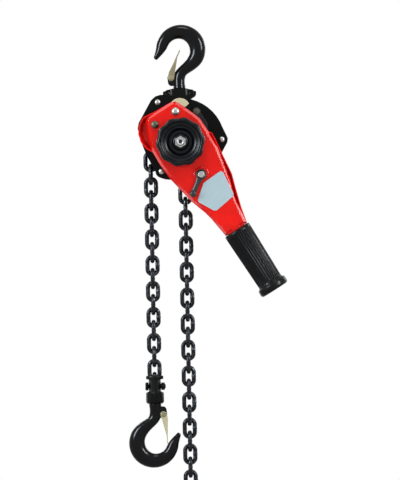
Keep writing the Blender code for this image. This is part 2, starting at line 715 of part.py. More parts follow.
def disc_gears(left, right, steel):
    """Compound gears that pass the drive pinion's turn to the load gear."""
    tail, front = CASE_BACK - CASE_WALL + 0.9, PLATE_INNER + 0.2
    for name, centre, side in (("disc_gear_left", left, -1), ("disc_gear_right", right, 1)):
        small = gear_outline(DISC_PINION_TEETH, MODULE, phase=mesh_phase(side, LOAD_GEAR_TEETH, DISC_PINION_TEETH))
        large = gear_outline(DISC_GEAR_TEETH, MODULE, phase=mesh_phase(side, PINION_TEETH, DISC_GEAR_TEETH))
        axle = cylinder(GEAR_JOURNAL_RADIUS, front, tail, 12)
        piece(name, prism(large, *DISC_GEAR_Y), steel, centre,
              joins=[prism(small, LOAD_GEAR_Y[0] + 0.2, DISC_GEAR_Y[0] + 0.5), axle])


def mesh_phase(side, driver_teeth, teeth):
    """Tooth phase of a gear at +X or -X that puts its gap on the other gear's tooth."""
    towards_driver = 180.0 if side > 0 else 0.0
    driver_angle = 0.0 if side > 0 else 180.0
    driver_step, step = 360.0 / driver_teeth, 360.0 / teeth
    offset = (driver_angle % driver_step) / driver_step
    return towards_driver + step * (0.5 + offset)


def gear_case(pivot, black):
    """Pressed case over the gears, with a flange that reaches the stays."""
    front = PLATE_OUTER + GAP
    def oval(radius, steps=6):
        return (arc(radius, -90.0, 90.0, steps, (GEAR_CENTRES, 0.0))
                + arc(radius, 90.0, 270.0, steps, (-GEAR_CENTRES, 0.0)))
    corner = 4.0
    shell = [[(x, front, z) for x, z in oval(CASE_RADIUS)],
             [(x, CASE_BACK - corner, z) for x, z in oval(CASE_RADIUS)],
             [(x, CASE_BACK - corner * 0.3, z) for x, z in oval(CASE_RADIUS - corner * 0.3)],
             [(x, CASE_BACK, z) for x, z in oval(CASE_RADIUS - corner)]]
    flange = arc(CASE_EAR, 95.0, 215.0, 4, STAY_LEFT) + arc(CASE_EAR, -150.0, -35.0, 4, STAY_BOTTOM)
    flange += arc(CASE_RADIUS, -60.0, 0.0, 4, (GEAR_CENTRES, 0.0)) + arc(CASE_EAR, -20.0, 95.0, 4, STAY_RIGHT)
    hollow = [[(x, front - 1, z) for x, z in oval(CASE_RADIUS - CASE_WALL)],
              [(x, CASE_BACK - CASE_WALL, z) for x, z in oval(CASE_RADIUS - CASE_WALL)]]
    cuts = [skin(hollow)]
    cuts += [cylinder(STAY_RADIUS + GAP, front - 1, front + CASE_FLANGE + 1, 8, stay)
             for stay in (STAY_LEFT, STAY_RIGHT, STAY_BOTTOM)]
    cuts += [cylinder(GEAR_JOURNAL_RADIUS + GAP, CASE_BACK - CASE_WALL - 1, CASE_BACK - CASE_WALL + 1.2, 12,
                      (side * GEAR_CENTRES, 0.0)) for side in (-1, 1)]
    cuts.append(cylinder(GEAR_JOURNAL_RADIUS + GAP, CASE_BACK - CASE_WALL - 1, CASE_BACK - CASE_WALL + 1.2, 12))
    cuts.append(cylinder(PIN_HEAD_RADIUS + 1.5, front - 1, front + CASE_FLANGE + 1, 12, PIN_AT))
    piece("gear_case", skin(shell), black, pivot,
          joins=[prism(flange, front, front + CASE_FLANGE)], cuts=cuts)


def brake_stack():
    """Front faces, as distances in front of the chain, of the pieces of the brake."""
    hub = PLATE_OUTER + 0.6 + HUB_FLANGE
    inner = hub + GAP + DISC_THICK
    ratchet = inner + GAP + RATCHET_THICK
    outer = ratchet + GAP + DISC_THICK
    return hub, inner, ratchet, outer


def brake_discs(drive, ratchet_axis, steel, lining, bright):
    """Friction hub and linings on the drive, and the ratchet disc between them."""
    hub, inner, ratchet, outer = brake_stack()
    bore = THREAD_RADIUS + GAP
    profile = [(bore, -hub + HUB_FLANGE), (HUB_FLANGE_RADIUS, -hub + HUB_FLANGE), (HUB_FLANGE_RADIUS, -hub),
               (HUB_BOSS_RADIUS, -hub), (HUB_BOSS_RADIUS, -outer), (bore, -outer)]
    piece("friction_hub", lathe(profile, ROUND, closed=True), steel, drive)
    clear = HUB_BOSS_RADIUS + GAP
    piece("friction_disc_inner", ring(DISC_RADIUS, clear, -inner, -inner + DISC_THICK), lining, drive)
    piece("friction_disc_outer", ring(DISC_RADIUS, clear, -outer, -outer + DISC_THICK), lining, drive)
    outline = []
    for tooth in range(RATCHET_TEETH):
        angle = RATCHET_PHASE + 360.0 / RATCHET_TEETH * tooth
        outline += [polar(RATCHET_TIP, angle), polar(RATCHET_ROOT, angle)]
    piece("ratchet_disc", prism(outline, -ratchet, -ratchet + RATCHET_THICK, [circle(clear, ROUND)]),
          bright, ratchet_axis)


def brake_pawls(frame, dark, bright):
    """Two claws on pins in the front plate that stop the ratchet disc one way."""
    _, _, ratchet, _ = brake_stack()
    step = 360.0 / RATCHET_TEETH
    tooth = RATCHET_PHASE + step * 2
    claw = [(RATCHET_ROOT + 0.6, tooth + 0.9), (RATCHET_TIP - 0.9, tooth + 8.5),
            (RATCHET_TIP + 1.2, tooth + step), (RATCHET_TIP + 4.5, tooth + step + 8.0)]
    back = [(RATCHET_TIP + 13.5, tooth + step + 7.0), (RATCHET_TIP + 9.5, tooth + 12.0),
            (RATCHET_TIP + 4.5, tooth + 3.5), (RATCHET_TIP + 1.0, tooth + 0.9)]
    pivot = pawl_pivot(0.0)
    boss = arc(PAWL_BOSS, 265.0, 15.0, 6, pivot)
    outline = [polar(*point) for point in claw] + boss + [polar(*point) for point in back]
    local = [(x - pivot[0], z - pivot[1]) for x, z in outline]
    for name, turn in (("upper", PAWL_TURNS[0]), ("lower", PAWL_TURNS[1])):
        x, z = pawl_pivot(turn)
        axis = place(f"brake_pawl_{name}_axis", frame, (x, 0.0, z), -turn)
        hole = circle(PAWL_PIN_RADIUS + GAP, 10)
        piece(f"brake_pawl_{name}", prism(local, -ratchet, -ratchet + RATCHET_THICK, [hole]), dark, axis)
        foot, seat = -PLATE_OUTER - GAP, -ratchet + RATCHET_THICK + GAP
        head = -ratchet - GAP
        profile = [(0.0, -PLATE_INNER - 0.2), (PAWL_PIN_RADIUS, -PLATE_INNER - 0.2), (PAWL_PIN_RADIUS, foot),
                   (PAWL_BOSS, foot), (PAWL_BOSS, seat), (PAWL_PIN_RADIUS, seat), (PAWL_PIN_RADIUS, head),
                   (PAWL_PIN_RADIUS + 1.4, head), (PAWL_PIN_RADIUS + 1.4, head - PAWL_PIN_HEAD + 0.6),
                   (0.0, head - PAWL_PIN_HEAD)]
        piece(f"pawl_pin_{name}", lathe(profile, SMALL_ROUND), bright,
              place(f"pawl_pin_{name}_seat", frame, (x, 0.0, z)))


def brake_cover(frame, zinc):
    """Zinc cover over the brake, with the ear that keeps the top pin in."""
    front = -COVER_FRONT
    rim = -PLATE_OUTER - GAP
    collar_end = -LEVER_REAR - LEVER_WALL - 1.2
    inner = COVER_RADIUS - COVER_WALL
    profile = [(COVER_BORE, collar_end), (COVER_COLLAR_RADIUS, collar_end), (COVER_COLLAR_RADIUS, front),
               (COVER_RADIUS - 3.5, front), (COVER_RADIUS, front + 3.0), (COVER_RADIUS, rim), (inner, rim),
               (inner, front + COVER_WALL + 0.2), (COVER_BORE, front + COVER_WALL + 0.2)]
    pin_angle = degrees(atan2(PIN_AT[1], PIN_AT[0]))
    ear = arc(EAR_RADIUS, pin_angle - 78.0, pin_angle + 78.0, 10, PIN_AT)
    ear += arc(COVER_RADIUS - COVER_WALL / 2, pin_angle + 27.0, pin_angle - 27.0, 5)
    windows = []
    _, _, ratchet, _ = brake_stack()
    for turn in PAWL_TURNS:
        sector = (arc(COVER_RADIUS - 6.0, 40.0 + turn, 99.0 + turn, 5)
                  + arc(COVER_RADIUS + 6.0, 99.0 + turn, 40.0 + turn, 5))
        windows.append(prism(sector, -ratchet - 0.8, -ratchet + RATCHET_THICK + 0.8))
    piece("brake_cover", lathe(profile, 24, closed=True), zinc, frame,
          joins=[prism(ear, -EAR_Y[1], -EAR_Y[0])], cuts=windows)


def drive_line(drive, steel, plastic, bright):
    """Pinion shaft, toothed drive member, handwheel and its nut."""
    _, _, _, outer = brake_stack()
    seat = outer + GAP
    flange_front = seat + DRIVE_FLANGE
    hub_front = WHEEL_BACK - 0.8
    bore = THREAD_RADIUS + GAP
    y0, y1 = DRIVE_TEETH_Y
    profile = [(bore, -seat), (HUB_FLANGE_RADIUS, -seat), (HUB_FLANGE_RADIUS, -flange_front),
               (DRIVE_NECK_RADIUS, -flange_front), (DRIVE_NECK_RADIUS, -y0), (DRIVE_ROOT, -y0),
               (DRIVE_ROOT, -y1), (DRIVE_HUB_RADIUS, -y1), (DRIVE_HUB_RADIUS, -hub_front), (bore, -hub_front)]
    step = 360.0 / DRIVE_TEETH
    down = -90.0 - LEVER_ANGLE
    teeth = []
    for tooth in range(DRIVE_TEETH):
        middle = down + tooth * step
        for radius, half in ((DRIVE_ROOT - 1.0, 0.26), (DRIVE_TIP, 0.14), (DRIVE_TIP, -0.14),
                             (DRIVE_ROOT - 1.0, -0.26)):
            teeth.append(polar(radius, middle - half * step))
    piece("changeover_gear", lathe(profile, ROUND, closed=True), steel, drive,
          joins=[prism(teeth, -y1 + 0.2, -y0 - 0.2, [circle(THREAD_RADIUS + 3.0, 16)])])
    thread_end = WHEEL_FRONT + 3.4
    root = PINION_TEETH * MODULE / 2 - 1.3 * MODULE
    shaft = [(0.0, -thread_end), (5.0, -thread_end), (WHEEL_THREAD, -thread_end + 1.5),
             (WHEEL_THREAD, -WHEEL_BACK + 0.5), (THREAD_RADIUS, -WHEEL_BACK + 0.5),
             (THREAD_RADIUS, -PLATE_OUTER - 0.4), (SHAFT_RADIUS, -PLATE_OUTER - 0.4),
             (SHAFT_RADIUS, DISC_GEAR_Y[0] - 1.5), (root, DISC_GEAR_Y[0] - 1.5), (root, DISC_GEAR_Y[1] + 1.0),
             (GEAR_JOURNAL_RADIUS, DISC_GEAR_Y[1] + 1.0), (GEAR_JOURNAL_RADIUS, CASE_BACK - CASE_WALL + 0.9),
             (0.0, CASE_BACK - CASE_WALL + 0.9)]
    pinion = prism(gear_outline(PINION_TEETH, MODULE), DISC_GEAR_Y[0] - 1.8, DISC_GEAR_Y[1] + 0.4)
    piece("pinion_shaft", lathe(shaft, 12), steel, drive, joins=[pinion])
    handwheel(drive, plastic)
    nut = WHEEL_FRONT - 3.4
    piece("handwheel_nut", prism(circle(NUT_RADIUS, 6), -nut - NUT_THICK, -nut - GAP,
                                 [circle(WHEEL_THREAD + GAP, 16)]), bright, drive)


def handwheel(drive, plastic):
    """Scalloped black wheel, dished in front, for running the chain by hand."""
    sides = WHEEL_LOBES * 3
    def scalloped(radius, y, depth=1.0):
        points = []
        for i in range(sides):
            angle = 360.0 * i / sides
            swell = 1 - WHEEL_LOBE_DEPTH * depth * (1 - cos(radians(angle * WHEEL_LOBES))) / 2
            x, z = polar(radius * swell, angle)
            points.append((x, y, z))
        return points
    bore = WHEEL_THREAD + GAP
    dish = WHEEL_FRONT - 7.0
    rings = [scalloped(bore, -WHEEL_BACK, 0.0), scalloped(WHEEL_RADIUS - 5.0, -WHEEL_BACK, 0.4),
             scalloped(WHEEL_RADIUS, -WHEEL_BACK - 4.0), scalloped(WHEEL_RADIUS, -WHEEL_FRONT + 5.0),
             scalloped(WHEEL_RADIUS - 1.6, -WHEEL_FRONT + 1.5), scalloped(WHEEL_RADIUS - 5.0, -WHEEL_FRONT, 0.7),
             scalloped(WHEEL_RADIUS - 8.5, -WHEEL_FRONT + 1.0, 0.4), scalloped(WHEEL_RADIUS - 13.0, -dish, 0.0),
             scalloped(14.5, -dish, 0.0), scalloped(11.5, -WHEEL_FRONT + 3.4, 0.0),
             scalloped(bore, -WHEEL_FRONT + 3.4, 0.0)]
    piece("handwheel", skin(rings, closed=True), plastic, drive)


def lever_outline(right, left=None):
    """A shell's outline from (u, v) edges, u from the hub towards the grip."""
    left = right if left is None else left
    tail = [(GRIP_START - 0.5, 20.2), (GRIP_START, LEVER_TAIL), (LEVER_TAIL_END, LEVER_TAIL)]
    right_side = [(v, -u) for u, v in list(right) + tail]
    left_side = [(-v, -u) for u, v in list(left) + tail]
    return right_side + left_side[::-1]


def lever_shells(lever, red):
    """Two pressed shells that meet at their rims, bored for the hub, bolts and selector."""
    front_edge = [(-62.5, 21.0), (-60.5, 27.0), (-56.0, 31.0), (-29.0, 42.0), (-16.0, 46.5), (12.0, 47.3),
                  (40.0, 46.0), (72.0, 40.0), (92.0, 36.0), (116.0, 28.0), (130.0, 25.0)]
    rear_right = [(-62.5, 21.0), (-60.5, 27.0), (-56.0, 31.0), (-29.0, 42.0), (-16.0, 46.5), (10.0, 47.5),
                  (14.0, 51.0), (28.0, 49.7), (58.0, 45.7), (87.0, 42.2), (112.0, 34.2), (140.0, 26.0)]
    bulge_u, bulge_v, bulge = -31.6, -17.0, 36.8
    bulge_arc = [(bulge_u - bulge * cos(radians(a)), -bulge_v + bulge * sin(radians(a)))
                 for a in (20.0, 42.0, 64.0, 86.0, 108.0, 130.0)]
    rear_left = [(-64.0, 10.0)] + bulge_arc + [(12.0, 47.3), (40.0, 46.0), (72.0, 40.0), (92.0, 36.0),
                                               (116.0, 28.0), (130.0, 25.0)]
    bolt_u, bolt_v = LEVER_BOLT_AT
    bolts = [(side * bolt_v, bolt_u) for side in (-1, 1)]
    front = tray(lever_outline(front_edge), -LEVER_SEAM - GAP, -LEVER_FRONT, LEVER_BEND, LEVER_WALL)
    y0, y1 = -LEVER_FRONT - 2, -LEVER_FRONT + 12
    piece("lever_front_shell", front, red, lever, cuts=[
        cylinder(DRIVE_HUB_RADIUS + GAP, y0, y1, ROUND),
        cylinder(SELECTOR_SHAFT_RADIUS + GAP, y0, y1, 12, (0.0, -SELECTOR_REACH)),
        *[cylinder(LEVER_BOLT_RADIUS + GAP, y0, y1, 8, bolt) for bolt in bolts]])
    rear = tray(lever_outline(rear_right, rear_left), -LEVER_SEAM, -LEVER_REAR, LEVER_BEND, LEVER_WALL)
    y0, y1 = -LEVER_REAR - 12, -LEVER_REAR + 2
    piece("lever_rear_shell", rear, red, lever, cuts=[
        cylinder(COVER_COLLAR_RADIUS + GAP, y0, y1, ROUND),
        cylinder(4.0 + GAP, y0, y1, 10, (0.0, -SELECTOR_REACH)),
        *[cylinder(LEVER_BOLT_RADIUS + GAP, y0, y1, 8, bolt) for bolt in bolts]])


def lever_fittings(lever, bright, rubber, label):
    """Bolts with spacer shoulders, the fluted grip and the bare label plate."""
    bolt_u, bolt_v = LEVER_BOLT_AT
    inner_front, inner_rear = LEVER_FRONT - LEVER_WALL - GAP, LEVER_REAR + LEVER_WALL + GAP
    head, radius = 4.0, 6.4
    for name, side in (("lever_bolt_left", -1), ("lever_bolt_right", 1)):
        profile = [(0.0, -LEVER_FRONT - GAP - head), (radius - 1.0, -LEVER_FRONT - GAP - head),
                   (radius, -LEVER_FRONT - GAP - head + 1.0), (radius, -LEVER_FRONT - GAP),
                   (LEVER_BOLT_RADIUS, -LEVER_FRONT - GAP), (LEVER_BOLT_RADIUS, -inner_front),
                   (5.0, -inner_front), (5.0, -inner_rear), (LEVER_BOLT_RADIUS, -inner_rear),
                   (LEVER_BOLT_RADIUS, -LEVER_REAR + GAP), (3.0 + radius / 2, -LEVER_REAR + GAP),
                   (3.0 + radius / 2, -LEVER_REAR + 1.5), (0.0, -LEVER_REAR + 1.5)]
        piece(name, moved(lathe(profile, SMALL_ROUND), side * bolt_v, 0.0, bolt_u), bright, lever)
    grip(lever, rubber)
    corners = [(-4.0, 75.0), (28.5, 73.5), (31.5, 77.0), (27.0, 115.0), (24.5, 118.5), (-10.0, 123.5),
               (-14.0, 121.5), (-27.5, 97.0), (-26.5, 92.5)]
    piece("label_plate", prism([(v, -u) for v, u in corners], -LEVER_FRONT - GAP - LABEL_THICK,
                               -LEVER_FRONT - GAP), label, lever)


def grip(lever, rubber):
    """Fluted rubber sleeve with a flanged end, over the tail of the shells."""
    centre_y = -(LEVER_REAR + LEVER_FRONT) / 2
    sides = GRIP_FLUTES * 2
    rows = [(GRIP_START, 20.6, 0.0), (GRIP_START + 2.0, 22.8, 0.0), (GRIP_START + 7.0, 22.8, 1.0),
            (263.0, 20.6, 1.0), (267.0, 20.9, 0.0), (270.0, 24.4, 0.0), (278.5, 24.8, 0.0),
            (GRIP_END, 22.6, 0.0)]
    rings = []
    for u, radius, flute in rows:
        points = []
        for i in range(sides):
            reach = radius * (1 - 0.045 * flute * (i % 2))
            x, depth = polar(reach, 360.0 * i / sides)
            points.append((x, centre_y + depth, -u))
        rings.append(points)
    half = (LEVER_FRONT - LEVER_REAR) / 2 + 0.4
    wide = LEVER_TAIL + 0.4
    socket = prism([(wide, -GRIP_START + 1), (wide, -LEVER_TAIL_END - 0.5), (-wide, -LEVER_TAIL_END - 0.5),
                    (-wide, -GRIP_START + 1)], centre_y - half, centre_y + half)
    piece("grip", skin(rings), rubber, lever, cuts=[socket])


def selector(lever, dark, bright, steel):
    """Change lever in front, its shaft, and the two-nosed pawl inside."""
    pivot = place("selector_axis", lever, (0.0, 0.0, -SELECTOR_REACH), SELECTOR_REST)
    back = -LEVER_FRONT - GAP - LABEL_THICK - 0.6
    boss, end = 8.8, 5.2
    outline = arc(boss, -25.0, 205.0, 8) + arc(end, 180.0, 360.0, 5, (0.0, -SELECTOR_ARM))
    knob = cylinder(end, back - 10.5, back - 3.0, 12, (0.0, -SELECTOR_ARM))
    shaft_hole = circle(SELECTOR_SHAFT_RADIUS + GAP, 12)
    piece("selector_lever", prism(outline, back - 3.6, back, [shaft_hole]), dark, pivot, joins=[knob])
    head = back - 3.6 - GAP
    profile = [(0.0, head - 2.0), (SELECTOR_SHAFT_RADIUS, head - 2.0), (SELECTOR_SHAFT_RADIUS + 1.0, head - 1.0),
               (SELECTOR_SHAFT_RADIUS + 1.0, head), (SELECTOR_SHAFT_RADIUS, head),
               (SELECTOR_SHAFT_RADIUS, -LEVER_REAR - LEVER_WALL - 1.0), (4.0, -LEVER_REAR - LEVER_WALL - 1.0),
               (4.0, -LEVER_REAR + 0.2), (0.0, -LEVER_REAR + 0.2)]
    piece("selector_shaft", lathe(profile, SMALL_ROUND), bright, pivot)
    pawl_axis = place("change_pawl_axis", lever, (0.0, 0.0, -SELECTOR_REACH), CHANGE_PAWL_SWING)
    nose_x, nose_z, nose = 13.0, 38.2, 2.3
    half = [(9.0, 7.0), (nose_x + nose + 1.5, 24.0), (nose_x + nose, nose_z), (nose_x - nose, nose_z + 0.6),
            (nose_x - nose - 2.0, 29.0), (6.0, 22.0)]
    outline = arc(10.5, 200.0, 340.0, 6) + half + [(-x, z) for x, z in reversed(half)]
    y0, y1 = DRIVE_TEETH_Y
    hole = circle(SELECTOR_SHAFT_RADIUS + GAP, 12)
    piece("change_pawl", prism(outline, -y1 + 1.0, -y0 - 1.0, [hole]), steel, pawl_axis)


def bottom_yoke(bolt, steel, bright):
    """Two halves round the last link and the hook's button, clamped by the chain bolt."""
    deep, waist = 16.4, 9.8
    rows = [(17.0, 14.6, deep - 0.4), (16.2, 15.4, deep), (12.0, 15.4, deep), (11.0, 11.0, deep),
            (8.2, waist, deep), (-8.0, waist, deep), (-10.0, 14.0, deep), (-12.0, YOKE_HALF, deep),
            (-YOKE_DROP + 2.5, YOKE_HALF, YOKE_HALF), (-YOKE_DROP, YOKE_HALF - 2.5, YOKE_HALF - 2.5)]
    rings = []
    for z, half_x, half_y in rows:
        rings.append([(half_x * cos(2 * pi * i / 12), half_y * sin(2 * pi * i / 12), z) for i in range(12)])
    rock = rows[0][0] * tan(radians(YOKE_ROCK))
    slot_x, slot_y = WIRE_FACET_RADIUS + 0.5, LINK_WIDTH / 2 + rock
    slot_foot = -(PITCH + WIRE) / 2 - WIRE_FACET_RADIUS - 1.0 + bolt_rise()
    cross_y = WIRE_FACET_RADIUS + rock + GAP
    cross_foot = bolt_rise() + PITCH - (PITCH + WIRE) / 2 - WIRE_FACET_RADIUS - 0.5
    top = -YOKE_DROP + NECK_LENGTH
    bore, chamber = NECK_RADIUS + GAP, BUTTON_RADIUS + 2 * GAP
    pocket = [(0.0, -YOKE_DROP - 2.0), (bore, -YOKE_DROP - 2.0), (bore, top - 2 * GAP),
              (chamber, top - 2 * GAP), (chamber, top + BUTTON_LENGTH + GAP),
              (0.0, top + BUTTON_LENGTH + GAP)]
    for name, side in (("bottom_yoke_left", -1), ("bottom_yoke_right", 1)):
        x0, x1 = sorted((-side * 30.0, side * GAP / 2))
        other_half = prism([(x0, -60.0), (x1, -60.0), (x1, 60.0), (x0, 60.0)], -30.0, 30.0)
        slot = prism([(-slot_x, slot_foot), (slot_x, slot_foot), (slot_x, 30.0), (-slot_x, 30.0)], -slot_y, slot_y)
        cross = prism([(-20.0, cross_foot), (20.0, cross_foot), (20.0, 30.0), (-20.0, 30.0)], -cross_y, cross_y)
        piece(name, skin(rings), steel, bolt, cuts=[
            other_half, slot, cross, upright(lathe(pocket, 12)),
            across(cylinder(BOLT_RADIUS + GAP, -20.0, 20.0))])
    face = waist + 0.5
    profile = [(0.0, face + 5.0), (6.6, face + 5.0), (6.6, face), (BOLT_RADIUS, face), (BOLT_RADIUS, -face - 7.4),
               (0.0, -face - 7.4)]
    piece("chain_bolt", across(lathe(profile, SMALL_ROUND)), bright, bolt)
    nut = prism(circle(6.9, 6), -face - 5.8, -face, [circle(BOLT_RADIUS + GAP, SMALL_ROUND)])
    piece("chain_nut", across(nut), bright, bolt)


def bolt_rise():
    """How far the last link's centre lies above the chain bolt."""
    return (PITCH + WIRE) / 2 - WIRE_FACET_RADIUS - BOLT_RADIUS - GAP


# ================================================================ the hoist
def build():
    """Model every piece, from the top hook down."""
    for old in list(bpy.data.objects):
        bpy.data.objects.remove(old)
    hook_black = finish("hook_black", (0.012, 0.013, 0.016), 0.25, 0.2)
    frame_black = finish("frame_black", (0.011, 0.011, 0.013), 0.35, 0.2)
    chain_black = finish("chain_black", (0.028, 0.030, 0.034), 0.38, 0.8)
    lever_red = finish("lever_red", (0.78, 0.018, 0.012), 0.30, 0.0)
    plastic = finish("wheel_plastic", (0.014, 0.017, 0.022), 0.5, 0.0)
    rubber = finish("grip_rubber", (0.010, 0.010, 0.012), 0.65, 0.0)
    zinc = finish("yellow_zinc", (0.62, 0.58, 0.38), 0.35, 0.9)
    bright = finish("bright_steel", (0.62, 0.63, 0.62), 0.28, 1.0)
    steel = finish("machined_steel", (0.36, 0.36, 0.37), 0.40, 1.0)
    iron = finish("cast_iron", (0.12, 0.12, 0.13), 0.55, 0.8)
    lining = finish("brake_lining", (0.18, 0.14, 0.10), 0.8, 0.0)
    label = finish("label_plate", (0.42, 0.58, 0.66), 0.4, 0.3)

    saddle = place("top_hook_saddle")
    hook_set("top", saddle, LATCH_CLOSED + TOP_LATCH_OPEN, hook_black, zinc)
    yoke_swivel = place("top_yoke_swivel")
    top_yoke(yoke_swivel, hook_black, steel)

    frame_pin = place("frame_pin", None, (0.0, 0.0, -PIN_DROP), HANG_ANGLE)
    top_pin(frame_pin, steel)
    hub = place("hub", frame_pin, (-PIN_AT[0], 0.0, -PIN_AT[1]))
    side_plates(hub, frame_black)
    stays(hub, bright, iron)
    guide_rollers(hub, iron, steel)
    sheave_bearings(hub, steel)
    gear_case(hub, frame_black)
    brake_cover(hub, zinc)
    brake_pawls(hub, iron, bright)
    chain_piece("chain_in_body", wrapped_links(), chain_black, hub)

    sheave(place("sheave_axis", hub), iron, steel)
    disc_gears(place("left_gear_axis", hub, (-GEAR_CENTRES, 0.0, 0.0)),
               place("right_gear_axis", hub, (GEAR_CENTRES, 0.0, 0.0)), steel)
    drive = place("drive_axis", hub)
    brake_discs(drive, place("ratchet_axis", hub), steel, lining, bright)
    drive_line(drive, steel, plastic, bright)

    lever = place("lever_axis", hub, turn=LEVER_ANGLE)
    lever_shells(lever, lever_red)
    lever_fittings(lever, bright, rubber, label)
    selector(lever, frame_black, bright, steel)

    hub_world = turned_point(PIN_AT, HANG_ANGLE)
    hub_x, hub_z = -hub_world[0], -PIN_DROP - hub_world[1]
    load_x, load_z = turned_point(LOAD_EXIT, HANG_ANGLE)
    load_exit = place("load_exit", None, (hub_x + load_x, 0.0, hub_z + load_z))
    first_load = -(PITCH - WIRE) / 2 + LINK_SEAT
    chain_piece("load_chain", hanging_links(first_load, LOAD_LINKS, True), chain_black, load_exit)
    slack_x, slack_z = turned_point(SLACK_EXIT, HANG_ANGLE)
    slack_exit = place("slack_exit", None, (hub_x + slack_x, 0.0, hub_z + slack_z))
    first_slack = -(PITCH + WIRE) / 2 + LINK_SEAT
    chain_piece("slack_chain", hanging_links(first_slack, SLACK_LINKS, False), chain_black, slack_exit)
    ring_radius, ring_wire = 19.0, 4.0
    last_slack = first_slack - PITCH * (SLACK_LINKS - 1)
    ring_centre = last_slack - (PITCH + WIRE) / 2 + WIRE_FACET_RADIUS + ring_wire + GAP - ring_radius
    rounds = [[(ring_wire * cos(t), (ring_radius + ring_wire * sin(t)) * cos(a),
                ring_centre + (ring_radius + ring_wire * sin(t)) * sin(a))
               for t in (2 * pi * k / 6 for k in range(6))] for a in (2 * pi * i / 16 for i in range(16))]
    piece("end_stop_ring", skin(rounds, closed=True), bright, slack_exit)

    last_load = first_load - PITCH * (LOAD_LINKS - 1)
    bolt = place("chain_bolt_axis", load_exit, (0.0, 0.0, last_load - bolt_rise()))
    bottom_yoke(bolt, hook_black, bright)
    bottom = place("bottom_hook_saddle", bolt, (0.0, 0.0, -YOKE_DROP - GAP - SHOULDER_DROP), 180.0)
    hook_set("bottom", bottom, LATCH_CLOSED, hook_black, zinc)


build()
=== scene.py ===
"""Looks of the lever chain hoist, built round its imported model.

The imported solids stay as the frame. The forged hooks, the round-wire chain, the wheel, the grip
and the small turned parts are modelled anew; pressed and cast parts are rounded copies of their
solids; every surface gets a finish worked out in its own nodes. Lengths are millimetres in the
hoist's classes, metres in Blender and in the studio. The lever side faces -Y.
"""

from __future__ import annotations

import json
import logging
from collections.abc import Callable, Sequence
from dataclasses import dataclass
from enum import Enum
from math import atan2, cos, degrees, hypot, pi, radians, sin

import bpy
from mathutils import Matrix, Vector

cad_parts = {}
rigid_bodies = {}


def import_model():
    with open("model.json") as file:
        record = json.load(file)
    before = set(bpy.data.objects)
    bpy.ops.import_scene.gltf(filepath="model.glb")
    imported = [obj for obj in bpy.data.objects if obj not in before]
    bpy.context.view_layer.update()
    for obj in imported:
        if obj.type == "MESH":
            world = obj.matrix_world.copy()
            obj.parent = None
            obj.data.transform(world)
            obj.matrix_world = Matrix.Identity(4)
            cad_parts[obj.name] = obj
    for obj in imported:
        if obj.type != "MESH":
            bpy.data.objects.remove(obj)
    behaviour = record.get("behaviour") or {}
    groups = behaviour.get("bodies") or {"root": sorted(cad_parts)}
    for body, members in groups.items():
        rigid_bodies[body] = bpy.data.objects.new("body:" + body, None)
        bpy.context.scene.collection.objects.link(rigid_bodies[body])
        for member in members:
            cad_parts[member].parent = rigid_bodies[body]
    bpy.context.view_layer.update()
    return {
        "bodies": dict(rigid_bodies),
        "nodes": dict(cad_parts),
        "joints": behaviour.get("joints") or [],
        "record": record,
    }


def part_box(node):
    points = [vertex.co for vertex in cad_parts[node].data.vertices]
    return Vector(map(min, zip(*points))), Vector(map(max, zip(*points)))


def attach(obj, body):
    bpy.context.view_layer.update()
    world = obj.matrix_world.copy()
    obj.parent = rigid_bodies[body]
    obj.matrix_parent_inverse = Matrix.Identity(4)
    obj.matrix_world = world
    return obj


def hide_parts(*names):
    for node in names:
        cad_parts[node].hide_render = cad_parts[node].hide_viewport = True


MM = 0.001
Point = tuple[float, float]
Place = tuple[float, float, float]
Colour = tuple[float, float, float]
Link = tuple[Point, float, bool]
Shaping = Callable[[bpy.types.Object], None]
log = logging.getLogger("hoist")


# ---------------------------------------------------------------- shader graph
class Value:
    """A socket of a material's graph. Arithmetic on it adds Math nodes."""

    def __init__(self, graph: Graph, socket: bpy.types.NodeSocket) -> None:
        """Wrap one output socket of a graph."""
        self.graph = graph
        self.socket = socket

    def _math(self, operation: str, *terms: Value | float) -> Value:
        """A Math node on up to three terms."""
        return self.graph.node("ShaderNodeMath", {"operation": operation}, dict(enumerate(terms)))

    def __add__(self, other: Value | float) -> Value:
        """Sum."""
        return self._math("ADD", self, other)

    def __sub__(self, other: Value | float) -> Value:
        """Difference."""
        return self._math("SUBTRACT", self, other)

    def __rsub__(self, other: float) -> Value:
        """Difference from a number."""
        return self._math("SUBTRACT", other, self)

    def __mul__(self, other: Value | float) -> Value:
        """Product."""
        return self._math("MULTIPLY", self, other)

    def __or__(self, other: Value) -> Value:
        """The larger of two."""
        return self._math("MAXIMUM", self, other)

    __radd__ = __add__
    __rmul__ = __mul__

    def between(self, low: float, high: float) -> Value:
        """A smooth step.

        Args:
            low: where it leaves 0.
            high: where it reaches 1.

        Returns:
            The step.
        """
        settings = {"interpolation_type": "SMOOTHSTEP", "clamp": True}
        values = {"Value": self, "From Min": low, "From Max": high}
        return self.graph.node("ShaderNodeMapRange", settings, values)


